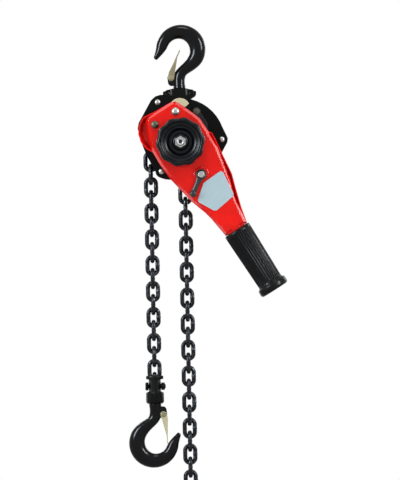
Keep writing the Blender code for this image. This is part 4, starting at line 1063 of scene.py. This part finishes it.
    def build(self) -> None:
        """Both hooks, the bottom one the same forging turned over."""
        forging, lug = self.forging(), self.lug()
        master = Bench.joined("hook_master", [forging, lug])
        for prefix, seat in (("top", TOP_SADDLE), ("bottom", BOTTOM_SADDLE)):
            hook = Bench.twin(master, f"{prefix}_hook_forging", seat.matrix())
            self.shop.deliver(hook, f"{prefix}_hook", Finishes.HOOK, f"{prefix}_hook")
            pin = self.latch_pin(f"{prefix}_latch_rivet", seat)
            self.shop.deliver(pin, f"{prefix}_hook", Finishes.DARK_ZINC, f"{prefix}_latch_pin")
            # The top latch gets the darker zinc as painted shade, for the way it faces the light; both
            # latches are the same zinc.
            latch = Finishes.DARK_ZINC if prefix == "top" else Finishes.ZINC
            self.shop.round_off(f"{prefix}_latch", f"{prefix}_latch", latch, 0.35, 2)
        bpy.data.objects.remove(master)


@dataclass
class Chain:
    """Round-wire links: two hanging runs, the part over the sheave, and the end ring.

    The links over the sheave are turned by the phase and stand off it by the tension. The ring is
    drawn thinner by the weld room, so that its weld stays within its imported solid.
    """

    shop: Workshop
    pitch: float = 21.0
    wire: float = 7.1
    width: float = 23.4
    seat_lift: float = 0.8
    load_links: int = 18
    slack_links: int = 24
    weld_cuts: tuple[float, ...] = (-1.5, -0.6, 0.6, 1.5)
    weld_half: float = 0.8
    weld_swell: float = 1.09
    pockets: int = 4
    phase: float = -2.3
    tension: float = 0.9
    load_lean: float = -4.9
    slack_lean: float = 2.5
    ring_radius: float = 19.0
    ring_wire: float = 4.0
    ring_seat: float = 4.1
    ring_weld_half: float = 1.5
    ring_weld_room: float = 0.27
    ring_weld_swell: float = 1.10

    @property
    def half_length(self) -> float:
        """From a link's middle to the centre of the wire at its end."""
        return (self.pitch + self.wire) / 2

    @property
    def remainder(self) -> float:
        """What the half length leaves of the pitch."""
        return (self.pitch - self.wire) / 2

    def link(self) -> bpy.types.Object:
        """One link, long way along Z and face to the front, with its weld.

        Returns:
            The link, at the origin.
        """
        crown = (self.width - self.wire) / 2
        straight = self.half_length - crown
        Bench.clear()
        bpy.ops.mesh.primitive_torus_add(major_segments=28, minor_segments=14, major_radius=crown * MM,
                                         minor_radius=self.wire / 2 * MM, rotation=(0.0, 0.0, pi / 28))
        piece = bpy.context.object
        piece.name = "link_master"
        Bench.hold(piece)
        bpy.ops.object.transform_apply(location=True, rotation=True, scale=True)
        Bench.hold(piece, edit=True)
        for side in (-1, 1):
            Bench.pick(piece, lambda corner, side=side: corner.y * side > 0)
            Bench.shift(y=side * straight)
        for height in self.weld_cuts:
            bpy.ops.mesh.select_all(action="SELECT")
            bpy.ops.mesh.bisect(plane_co=(0.0, height * MM, 0.0), plane_no=(0.0, 1.0, 0.0))
        Bench.pick(piece, lambda corner: corner.x > 0 and abs(corner.y) < self.weld_half * MM)
        Bench.stretch((self.weld_swell, 1.0, self.weld_swell), (crown, 0.0, 0.0))
        return Bench.close(piece, Facing.FRONT.value, smooth=60.0)

    def run(self, name: str, links: Sequence[Link], master: bpy.types.Object, seat: Seat) -> bpy.types.Object:
        """Copies of the link as one piece.

        Args:
            name: the piece's name.
            links: each link's centre, its lean, and whether it shows its face.
            master: the link that is copied.
            seat: what the centres are measured from.

        Returns:
            The piece.
        """
        copies = []
        for number, (centre, lean, facing) in enumerate(links):
            matrix = seat.beyond(centre, lean).matrix()
            if not facing:
                matrix = matrix @ Matrix.Rotation(pi / 2, 4, "Z")
            copies.append(Bench.twin(master, f"{name}_{number}", matrix))
        return Bench.joined(name, copies)

    def hanging(self, first: float, count: int, facing: bool) -> list[Link]:
        """Links one below another, the first at a height; facing says how that one hangs."""
        return [((0.0, first - self.pitch * i), 0.0, facing == (i % 2 == 0)) for i in range(count)]

    @staticmethod
    def polar(reach: float, angle: float) -> Point:
        """A point at a distance from the sheave's axis."""
        return reach * cos(radians(angle)), reach * sin(radians(angle))

    @classmethod
    def below(cls, start: Point, lean: float, distance: float) -> Point:
        """A point further down a run that leans from the plumb."""
        run = cls.polar(distance, -90.0 + lean)
        return start[0] + run[0], start[1] + run[1]

    def wrapped(self) -> list[Link]:
        """Links over the sheave and down to both exits, in the upright frame.

        Returns:
            The links from the load side to the slack side, by turns flat and on edge.
        """
        long, short = self.half_length, self.remainder
        step = 180.0 / self.pockets
        half = degrees(atan2(long * sin(radians(step)), short + long * cos(radians(step))))
        radius = long / sin(radians(half))
        other = step - half
        low = radius * cos(radians(half)) + self.tension
        high = radius * cos(radians(other)) + self.tension
        first = 180.0 - step / 2 + self.phase
        last = step / 2 + self.phase
        load = self.polar(radius, first + half)
        slack = self.polar(radius, last - other)
        links = [(self.below(load, self.load_lean, 2 * short + long), -self.load_lean, False),
                 (self.below(load, self.load_lean, short), -self.load_lean, True)]
        for i in range(self.pockets):
            angle = first - step * i
            links.append((self.polar(high if i % 2 else low, angle), 180.0 - angle, i % 2 == 1))
        links += [(self.below(slack, self.slack_lean, long), -self.slack_lean, False),
                  (self.below(slack, self.slack_lean, 2 * long + short), -self.slack_lean, True)]
        return links

    def end_ring(self) -> bpy.types.Object:
        """The welded ring that stops the slack end; it hangs in the last link.

        Returns:
            The ring, in place.
        """
        radius, wire = self.ring_radius, self.ring_wire
        room, swell = self.ring_weld_room, self.ring_weld_swell
        last = -self.half_length + self.seat_lift - self.pitch * (self.slack_links - 1)
        centre = last - self.half_length + self.ring_seat + wire - radius
        Bench.clear()
        bpy.ops.mesh.primitive_torus_add(major_segments=64, minor_segments=16,
                                         major_radius=(radius - room) * MM, minor_radius=(wire - room) * MM)
        piece = bpy.context.object
        piece.name = "end_ring"
        Bench.hold(piece, edit=True)
        half = self.ring_weld_half
        Bench.pick(piece, lambda corner: corner.x < -0.8 * radius * MM and abs(corner.y) < half * MM)
        Bench.stretch((swell, 1.0, swell), (-radius, 0.0, 0.0))
        return Bench.close(piece, SLACK_EXIT.matrix((0.0, centre), Facing.RIGHT), smooth=60.0)

    def build(self) -> None:
        """All the chain."""
        master = self.link()
        hanging = self.hanging(-self.remainder + self.seat_lift, self.load_links, True)
        load = self.run("load_links", hanging, master, LOAD_EXIT)
        self.shop.deliver(load, "load_run", Finishes.CHAIN, "load_chain")
        hanging = self.hanging(-self.half_length + self.seat_lift, self.slack_links, False)
        slack = self.run("slack_links", hanging, master, SLACK_EXIT)
        self.shop.deliver(slack, "slack_run", Finishes.CHAIN, "slack_chain")
        inside = self.run("sheave_links", self.wrapped(), master, HUB)
        self.shop.deliver(inside, "frame", Finishes.CHAIN, "chain_in_body")
        self.shop.deliver(self.end_ring(), "slack_run", Finishes.BRIGHT, "end_stop_ring")
        bpy.data.objects.remove(master)


@dataclass
class Body:
    """The yoke, the side plates with their stays, and the covers of brake and gears.

    The brake cover is plated up to a plane, given by a point and by the normal that points to its black side;
    beyond the plane it is painted black, a painted shadow of the lever.
    """

    shop: Workshop
    stays: tuple[tuple[str, Point, float], ...] = (
        ("stay_bolt_left", (-64.0, 39.1), 6.0),
        ("stay_bolt_right", (55.6, 36.7), 6.0),
        ("stay_bolt_bottom", (-4.5, -55.5), 3.6))
    ear_start: float = 13.0
    ear_slope: float = 13.0
    # The plane where the lever's painted shadow on the brake cover begins: a point, and the normal towards
    # the shadow.
    shadow_edge: Place = (14.0, 0.0, -106.6)
    shadow_side: Place = (0.67, 0.0, -0.74)
    plate_bore: float = 3.6

    def slope_ears(self, piece: bpy.types.Object) -> None:
        """Let the tops of the yoke's ears fall outwards.

        Args:
            piece: the open half of the yoke.
        """
        top = TOP_SHOULDER
        for side in (-1, 1):
            Bench.pick(piece, lambda corner, side=side: (corner.x * side > self.ear_start * MM
                                                         and corner.z > (top - 4.0) * MM))
            Bench.lean(self.ear_slope * side, (self.ear_start * side, 0.0, top))

    def yoke_highlight_strip(self, side: str, x: float) -> bpy.types.Object:
        """A raised strip beside the hook's barrel, lighter grey than the yoke: a painted highlight where the
        yoke's face catches the light.

        Args:
            side: left or right, for its name.
            x: where it runs.

        Returns:
            The strip, on the yoke's front.
        """
        low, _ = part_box("top_yoke_front")
        rings = [Ring((x, TOP_SHOULDER - drop), reach, 0.55) for drop, reach in
                 ((11.4, 0.5), (11.0, 1.1), (10.2, 1.3), (1.4, 1.3), (0.6, 1.1), (0.3, 0.5))]
        piece = Bench.sweep(f"yoke_highlight_strip_{side}", rings, 12)
        return Bench.close(piece, Matrix.Translation((0.0, low[1] + 0.15 * MM, 0.0)))

    def stay(self, name: str, at: Point, shoulder: float) -> None:
        """A stay with a domed head in front and a nut behind.

        Args:
            name: the stay's node.
            at: its place on the side plates.
            shoulder: its radius between the plates.
        """
        thin = self.plate_bore
        profile = [(0.6, 24.4), (2.4, 24.25), (3.9, 23.6), (4.7, 22.4), (4.9, 20.8), (thin, 20.8)]
        if shoulder > thin:
            profile += [(thin, 15.2), (shoulder, 15.2), (shoulder, -15.2), (thin, -15.2)]
        profile += [(thin, -28.4), (3.0, -28.5)]
        piece = Bench.turned(f"{name}_turned", profile, HUB.matrix(at, Facing.FRONT), 28)
        corners = [(5.6, -23.5), (6.2, -24.0), (6.2, -27.9), (5.5, -28.45)]
        nut = Bench.sweep(f"{name}_nut", [Ring((0.0, height), radius) for radius, height in corners], 6)
        Bench.close(nut, HUB.matrix(at, Facing.FRONT), smooth=30.0)
        self.shop.deliver(piece, "frame", Finishes.BRIGHT, name)
        self.shop.deliver(nut, "frame", Finishes.BRIGHT)

    def build(self) -> None:
        """All the pieces of the body."""
        shop = self.shop
        for node in ("top_yoke_front", "top_yoke_rear"):
            yoke = shop.copy_of(node, 1.6, 3, shape=self.slope_ears)
            shop.deliver(yoke, "top_yoke", Finishes.YOKE, node)
        # Lighter grey strips on the black yoke beside the barrel: a painted highlight.
        for side, x in (("left", -13.4), ("right", 11.2)):
            shop.deliver(self.yoke_highlight_strip(side, x), "top_yoke", Finishes.ARM)
        for node in ("top_yoke_rivet_left", "top_yoke_rivet_right"):
            shop.round_off(node, "top_yoke", Finishes.YOKE, 0.3, 2)
        for node in ("front_side_plate", "rear_side_plate"):
            shop.round_off(node, "frame", Finishes.FRAME, 0.7, 3)
        shop.round_off("gear_case", "frame", Finishes.FRAME, 0.8, 2)
        # The cover is cut in two: the plated part, and beyond the plane a black part that is a painted shadow
        # of the lever.
        plated = shop.copy_of("brake_cover", 0.5, 2)
        painted = Bench.twin(plated, "brake_cover_painted_shadow", Matrix.Identity(4))
        away = Vector(self.shadow_side)
        shop.deliver(Bench.cut(plated, self.shadow_edge, away), "frame", Finishes.ZINC, "brake_cover")
        shop.deliver(Bench.cut(painted, self.shadow_edge, -away), "frame", Finishes.FRAME)
        shop.round_off("top_pin", "frame", Finishes.STEEL, 0.5, 2)
        for node in ("pawl_pin_upper", "pawl_pin_lower"):
            shop.round_off(node, "frame", Finishes.DULL, 0.4, 3, 20.0)
        for name, at, shoulder in self.stays:
            self.stay(name, at, shoulder)
        shop.dress(Finishes.STEEL, "guide_pin_load", "guide_pin_slack", "sheave_bearing_front",
                   "sheave_bearing_rear")
        shop.dress(Finishes.IRON, "chain_stripper")
        for node in ("guide_roller_load", "guide_roller_slack", "brake_pawl_upper", "brake_pawl_lower"):
            shop.round_off(node, node, Finishes.PAWL, 0.4, 2)


@dataclass
class DriveLine:
    """Sheave, gears, brake, and the wheel in front."""

    shop: Workshop
    wheel_radius: float = 39.6
    lobes: int = 10
    scallop: float = 0.055
    shaft_tip: float = -103.395
    centre_wall: float = 1.6
    centre_depth: float = 5.0

    def wheel(self) -> bpy.types.Object:
        """Scalloped wheel with a raised rim, a stepped dish and a boss.

        Its rings are given by radius, height in front of the hub's middle and share of the scallop.

        Returns:
            The wheel, in place.
        """
        rim = self.wheel_radius
        rings = [(7.0, 73.0, 0.0), (28.0, 73.0, 0.0), (34.6, 73.0, 0.4), (37.4, 73.9, 0.8),
                 (39.0, 75.6, 1.0), (rim, 78.0, 1.0), (rim, 93.5, 1.0), (39.3, 96.4, 1.0),
                 (38.4, 98.4, 0.95), (36.8, 99.6, 0.8), (35.0, 100.0, 0.7), (33.4, 99.7, 0.5),
                 (32.2, 98.6, 0.3), (31.6, 97.0, 0.1), (30.6, 96.2, 0.0), (27.6, 95.9, 0.0),
                 (26.8, 95.4, 0.0), (26.0, 93.6, 0.0), (24.4, 93.0, 0.0), (22.6, 92.4, 0.0),
                 (21.6, 91.2, 0.0), (19.6, 86.4, 0.0), (18.4, 85.6, 0.0), (14.6, 85.6, 0.0),
                 (13.6, 86.2, 0.0), (12.2, 94.6, 0.0), (11.2, 96.0, 0.0), (7.4, 96.4, 0.0),
                 (7.0, 96.2, 0.0), (7.0, 73.0, 0.0)]
        made = [Ring((0.0, height), radius, flute=self.scallop * share) for radius, height, share in rings]
        piece = Bench.sweep("wheel_scalloped", made, self.lobes * 12, self.lobes, hollow=True)
        return Bench.close(piece, HUB.matrix(facing=Facing.FRONT), smooth=50.0)

    def shaft_end(self) -> bpy.types.Object:
        """Copy of the drive shaft with a centre drilled in its front end.

        Returns:
            The shaft, in place.
        """
        piece = self.shop.copy_of("pinion_shaft", 0.25, 2)
        Bench.hold(piece, edit=True)
        Bench.pick(piece, lambda centre: centre.y < self.shaft_tip * MM, faces=True)
        bpy.ops.mesh.inset(thickness=self.centre_wall * MM)
        bpy.ops.mesh.extrude_region_move(TRANSFORM_OT_translate={"value": (0.0, self.centre_depth * MM, 0.0)})
        Bench.clear()
        return piece

    def build(self) -> None:
        """All the pieces that turn about the hub."""
        shop = self.shop
        shop.deliver(self.wheel(), "drive_member", Finishes.PLASTIC, "handwheel")
        shop.deliver(self.shaft_end(), "drive_shaft", Finishes.STEEL, "pinion_shaft")
        shop.round_off("handwheel_nut", "drive_shaft", Finishes.BRIGHT, 0.9, 3)
        front = HUB.matrix(facing=Facing.FRONT)
        # A black ring in front of the nut stands for the shade in its groove: painted shade.
        ring = [(4.1, 101.2), (5.7, 101.2), (5.7, 101.75), (5.3, 101.9), (4.5, 101.9), (4.1, 101.2)]
        shade_ring = Bench.turned("nut_shade_ring", ring, front, 32, hollow=True)
        shop.deliver(shade_ring, "drive_shaft", Finishes.SHADE_BLACK)
        # A black plug in the drilled centre keeps the hole dark: painted shade.
        shade_plug = [(0.3, 98.6), (2.2, 98.6), (2.35, 102.3), (1.6, 102.0), (0.3, 101.2)]
        shop.deliver(Bench.turned("shaft_centre_shade", shade_plug, front, 20), "drive_shaft", Finishes.SHADE_BLACK)
        shop.round_off("load_sheave", "sheave", Finishes.IRON, 0.5, 2)
        shop.dress(Finishes.STEEL, "load_gear", "disc_gear_left", "disc_gear_right", "friction_hub",
                   "changeover_gear")
        shop.dress(Finishes.LINING, "friction_disc_inner", "friction_disc_outer")
        shop.dress(Finishes.BRIGHT, "ratchet_disc")


@dataclass
class Lever:
    """The pressed red lever with its bolts, label, selector, pawl and grip."""

    shop: Workshop
    front: float = 70.0
    rear: float = 43.0
    grip_start: float = 166.5
    flutes: int = 32
    flute_depth: float = 0.07
    bolt_bore: float = 3.1
    bolt_sleeve: float = 5.0
    boss_radius: float = 12.6
    boss_bore: float = 5.4
    selector_drop: float = 61.5
    selector_swing: float = 55.4
    selector_reach: float = 33.7
    neck: Place = (31.0, 24.0, 15.0)
    neck_flare: float = 1.08
    neck_rounding: float = 2.6
    arm_front: float = -74.0

    @property
    def inwards(self) -> Matrix:
        """The step along Y to the middle of the lever's thickness."""
        return Matrix.Translation((0.0, -(self.front + self.rear) / 2 * MM, 0.0))

    def bolt(self, name: str, at: Point, finish: Finishes) -> None:
        """A bolt with a domed, washered head in front.

        Args:
            name: the bolt's node.
            at: its place on the lever.
            finish: its finish.
        """
        bore, sleeve, front, rear = self.bolt_bore, self.bolt_sleeve, self.front, self.rear
        profile = [(0.5, front + 4.3), (2.6, front + 4.2), (4.6, front + 3.6), (5.6, front + 2.6),
                   (5.9, front + 1.6), (6.4, front + 1.2), (6.4, front + 0.3), (bore, front + 0.3),
                   (bore, front - 2.3), (sleeve, front - 2.3), (sleeve, rear + 2.3), (bore, rear + 2.3),
                   (bore, rear - 0.3), (5.6, rear - 0.3), (6.1, rear - 0.8), (6.0, rear - 1.4),
                   (5.0, rear - 1.5)]
        piece = Bench.turned(f"{name}_turned", profile, LEVER.matrix(at, Facing.FRONT), 32)
        self.shop.deliver(piece, "lever", finish, name)

    def grip(self) -> bpy.types.Object:
        """Fluted rubber sleeve with a rolled collar and a smooth flanged end.

        Its rings are given by distance from the hub, radius and share of the flutes.

        Returns:
            The grip, in place.
        """
        rings = [(166.6, 14.0, 0.0), (166.5, 20.0, 0.0), (167.0, 21.6, 0.0), (168.3, 22.5, 0.0),
                 (171.0, 22.7, 0.0), (172.5, 22.7, 0.0), (174.0, 22.6, 1.0), (262.5, 20.7, 1.0),
                 (264.5, 20.6, 0.0), (266.5, 20.9, 0.0), (268.0, 22.0, 0.0), (269.6, 24.0, 0.0),
                 (271.5, 24.7, 0.0), (276.5, 24.8, 0.0), (279.0, 24.3, 0.0), (280.5, 22.8, 0.0),
                 (281.0, 20.6, 0.0), (281.0, 12.0, 0.0)]
        made = [Ring((0.0, drop), radius, flute=self.flute_depth * share) for drop, radius, share in rings]
        piece = Bench.sweep("grip_fluted", made, self.flutes * 6, self.flutes)
        place = LEVER.matrix() @ self.inwards @ Matrix.Rotation(pi, 4, "X")
        return Bench.close(piece, place, smooth=50.0)

    def neck_block(self) -> bpy.types.Object:
        """The pressed neck that goes on into the grip.

        Returns:
            The neck, in place.
        """
        Bench.clear()
        bpy.ops.mesh.primitive_cube_add(size=MM)
        piece = bpy.context.object
        piece.name = "lever_neck"
        Bench.hold(piece, edit=True)
        Bench.stretch(self.neck, (0.0, 0.0, 0.0))
        Bench.pick(piece, lambda corner: corner.z > 0)
        Bench.stretch((self.neck_flare, 1.0, 1.0), (0.0, 0.0, 0.0))
        Bench.bevel(piece, width=self.neck_rounding, segments=4, angle=40.0)
        return Bench.close(piece, LEVER.matrix((0.0, -self.grip_start)) @ self.inwards)

    def selector(self) -> bpy.types.Object:
        """Selector lever: ringed hub, waisted arm and turned knob.

        The arm's rings are given by distance from its shaft and half width.

        Returns:
            The lever, in place.
        """
        seat = LEVER.beyond((0.0, -self.selector_drop), self.selector_swing)
        hub = [(5.8, 71.8), (8.1, 71.8), (8.7, 72.4), (8.7, 75.0), (8.3, 76.2), (7.5, 76.7), (6.7, 76.4),
               (6.2, 75.4), (5.8, 75.2), (5.8, 71.8)]
        knob = [(0.6, 81.8), (3.2, 81.7), (4.8, 80.9), (5.5, 79.4), (5.5, 78.0), (4.7, 76.2), (4.5, 74.6),
                (5.3, 73.4), (5.3, 71.9)]
        run = [(6.4, 4.4), (9.0, 5.2), (12.0, 4.4), (16.0, 3.9), (24.0, 3.8), (29.0, 4.3), (32.0, 4.8)]
        arm = Bench.sweep("selector_bar", [Ring((0.0, -drop), reach, 1.9) for drop, reach in run], 20)
        place = seat.matrix() @ Matrix.Translation((0.0, self.arm_front * MM, 0.0))
        end = seat.matrix((0.0, -self.selector_reach), Facing.FRONT)
        pieces = [Bench.close(arm, place),
                  Bench.turned("selector_hub", hub, seat.matrix(facing=Facing.FRONT), 40, hollow=True),
                  Bench.turned("selector_knob", knob, end, 28)]
        return Bench.joined("selector_arm", pieces)

    def boss(self) -> bpy.types.Object:
        """Round pressed step in the front shell under the selector.

        Returns:
            The step, in place.
        """
        front, reach, bore = self.front, self.boss_radius, self.boss_bore
        profile = [(reach, front - 0.4), (reach, front + 0.05), (reach - 0.7, front + 0.3),
                   (reach - 1.3, front + 1.0), (reach - 2.0, front + 1.35), (reach - 2.8, front + 1.4),
                   (bore, front + 1.4), (bore, front - 0.4), (reach, front - 0.4)]
        place = LEVER.matrix((0.0, -self.selector_drop), Facing.FRONT)
        return Bench.turned("selector_boss", profile, place, 48, hollow=True)

    def build(self) -> None:
        """All the pieces of the lever."""
        shop = self.shop
        shop.round_off("lever_front_shell", "lever", Finishes.RED, 1.8, 5, 25.0)
        shop.round_off("lever_rear_shell", "lever", Finishes.RED, 1.6, 4, 25.0)
        shop.deliver(self.boss(), "lever", Finishes.RED)
        self.bolt("lever_bolt_left", (-19.6, 45.7), Finishes.DULL)
        self.bolt("lever_bolt_right", (19.6, 45.7), Finishes.BRIGHT)
        shop.deliver(self.grip(), "lever", Finishes.RUBBER, "grip")
        shop.round_off("label_plate", "lever", Finishes.LABEL, 0.25, 2)
        shop.deliver(self.selector(), "selector", Finishes.ARM, "selector_lever")
        shop.deliver(self.neck_block(), "lever", Finishes.RED)
        shop.round_off("selector_shaft", "selector", Finishes.BRIGHT, 0.5, 3, 20.0)
        shop.round_off("change_pawl", "change_pawl", Finishes.STEEL, 0.4, 2)


@dataclass
class BottomYoke:
    """The cast yoke between the chain and the bottom hook, with its bolt."""

    shop: Workshop
    bolt_face: float = 10.3

    def bolt(self) -> bpy.types.Object:
        """Chain bolt with a round head at the left and a pointed end at the right.

        Returns:
            The bolt, in place.
        """
        face = self.bolt_face
        profile = [(3.0, -face - 5.0), (5.6, -face - 5.0), (6.5, -face - 4.2), (6.6, -face - 0.6),
                   (6.2, -face), (3.8, -face), (3.8, face + 6.4), (2.8, face + 7.3), (1.4, face + 7.4)]
        place = CHAIN_BOLT.matrix(facing=Facing.RIGHT)
        return Bench.turned("chain_bolt_turned", profile, place, 28, rounding=0.2)

    def build(self) -> None:
        """All the pieces of the yoke."""
        for node in ("bottom_yoke_left", "bottom_yoke_right"):
            self.shop.round_off(node, "bottom_yoke", Finishes.YOKE, 1.0, 3)
        self.shop.deliver(self.bolt(), "bottom_yoke", Finishes.YOKE, "chain_bolt")
        self.shop.round_off("chain_nut", "bottom_yoke", Finishes.YOKE, 0.5, 2)


# ---------------------------------------------------------------- studio
@dataclass(frozen=True)
class Lamp:
    """A soft panel of light that looks at the hoist, in metres."""

    name: str
    place: Place
    size: Point
    power: float
    colour: Colour = (1.0, 1.0, 1.0)
    mirrored_only: bool = False


@dataclass
class Studio:
    """Camera, lamps, sky and floor, in metres."""

    target: Place = (0.02848, 0.0, -0.3258)
    distance: float = 8.0
    lens: float = 371.4
    roll: float = 1.1
    lamp_target: Place = (0.0, 0.0, -0.3)
    sky_strength: float = 0.45
    floor_level: float = -0.82
    floor_size: float = 3.2
    lamps: tuple[Lamp, ...] = (
        Lamp("lamp_left", (-1.5, -1.3, 0.35), (0.35, 1.0), 13.0),
        Lamp("lamp_right", (1.5, -1.3, 0.4), (0.25, 1.0), 9.0),
        Lamp("lamp_top", (0.1, -0.7, 1.4), (0.6, 0.3), 9.0),
        Lamp("sheen_left", (-1.5, -1.35, 0.35), (0.50, 0.9), 50.0, (0.80, 0.90, 1.0), True),
        Lamp("sheen_right", (1.5, -1.2, 0.4), (0.14, 0.9), 36.0, (0.92, 0.96, 1.0), True),
        Lamp("lamp_back_left", (-1.2, 1.5, 0.5), (0.15, 1.0), 9.0),
        Lamp("lamp_back_right", (1.3, 1.4, 0.2), (0.15, 1.0), 8.0))

    def camera(self) -> None:
        """The camera at the photograph's view, rolled as the photograph is."""
        data = bpy.data.cameras.new("camera")
        camera = bpy.data.objects.new("camera", data)
        bpy.context.scene.collection.objects.link(camera)
        roll = radians(self.roll)
        columns = ((cos(roll), 0.0, -sin(roll)), (sin(roll), 0.0, cos(roll)), (0.0, -1.0, 0.0))
        matrix = Matrix(columns).transposed().to_4x4()
        matrix.translation = Vector(self.target) + Vector((0.0, -self.distance, 0.0))
        camera.matrix_world = matrix
        data.lens = self.lens
        data.clip_end = 60.0
        bpy.context.scene.camera = camera

    def light(self) -> None:
        """Soft panels on both sides, above and behind; some only add their reflection."""
        for lamp in self.lamps:
            data = bpy.data.lights.new(lamp.name, "AREA")
            data.shape = "RECTANGLE"
            data.size, data.size_y = lamp.size
            data.energy = lamp.power
            data.color = lamp.colour
            made = bpy.data.objects.new(lamp.name, data)
            bpy.context.scene.collection.objects.link(made)
            made.location = lamp.place
            made.visible_diffuse = not lamp.mirrored_only
            towards = Vector(self.lamp_target) - Vector(lamp.place)
            made.rotation_mode = "QUATERNION"
            made.rotation_quaternion = towards.to_track_quat("-Z", "Y")

    def sky(self) -> None:
        """A plain sky that is white where it is seen directly or mirrored."""
        world = bpy.data.worlds.new("studio_sky")
        bpy.context.scene.world = world
        graph = Graph(world)
        camera, glossy, through = (graph.node("ShaderNodeLightPath", output=f"Is {ray} Ray")
                                   for ray in ("Camera", "Glossy", "Transmission"))
        white = (1.0, 1.0, 1.0, 1.0)
        soft, full = (graph.node("ShaderNodeBackground", values={"Color": white, "Strength": strength})
                      for strength in (self.sky_strength, 1.0))
        seen = camera | glossy | through
        sheet = graph.node("ShaderNodeMixShader", values={0: seen, 1: soft, 2: full})
        graph.end("ShaderNodeOutputWorld", sheet)

    def floor(self) -> None:
        """A plain pale floor below the hanging hoist."""
        Bench.clear()
        bpy.ops.mesh.primitive_plane_add(size=self.floor_size, location=(0.0, 0.0, self.floor_level))
        floor = bpy.context.object
        floor.name = "studio_floor"
        graph = Graph(bpy.data.materials.new("finish_floor"))
        speck = graph.noise(30.0, 3.0)
        tone = graph.mix(speck, (0.80, 0.80, 0.80), (0.86, 0.86, 0.86))
        floor.data.materials.append(graph.surface({"Base Color": tone, "Roughness": 0.8}))

    def build(self) -> None:
        """Set up the whole studio."""
        self.camera()
        self.light()
        self.sky()
        self.floor()
        bpy.context.scene.view_settings.view_transform = "Standard"


def main() -> None:
    """Load the frame, build every sub-assembly in order, and report."""
    logging.basicConfig(level=logging.INFO, format="%(name)s: %(message)s")
    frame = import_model()
    shop = Workshop(frame)
    Studio().build()
    for assembly in (Hooks(shop), Body(shop), DriveLine(shop), Chain(shop), Lever(shop), BottomYoke(shop)):
        assembly.build()
    Bench.clear()
    bpy.context.view_layer.update()
    log.info("%d new pieces", shop.made)


if __name__ == "__main__":
    main()
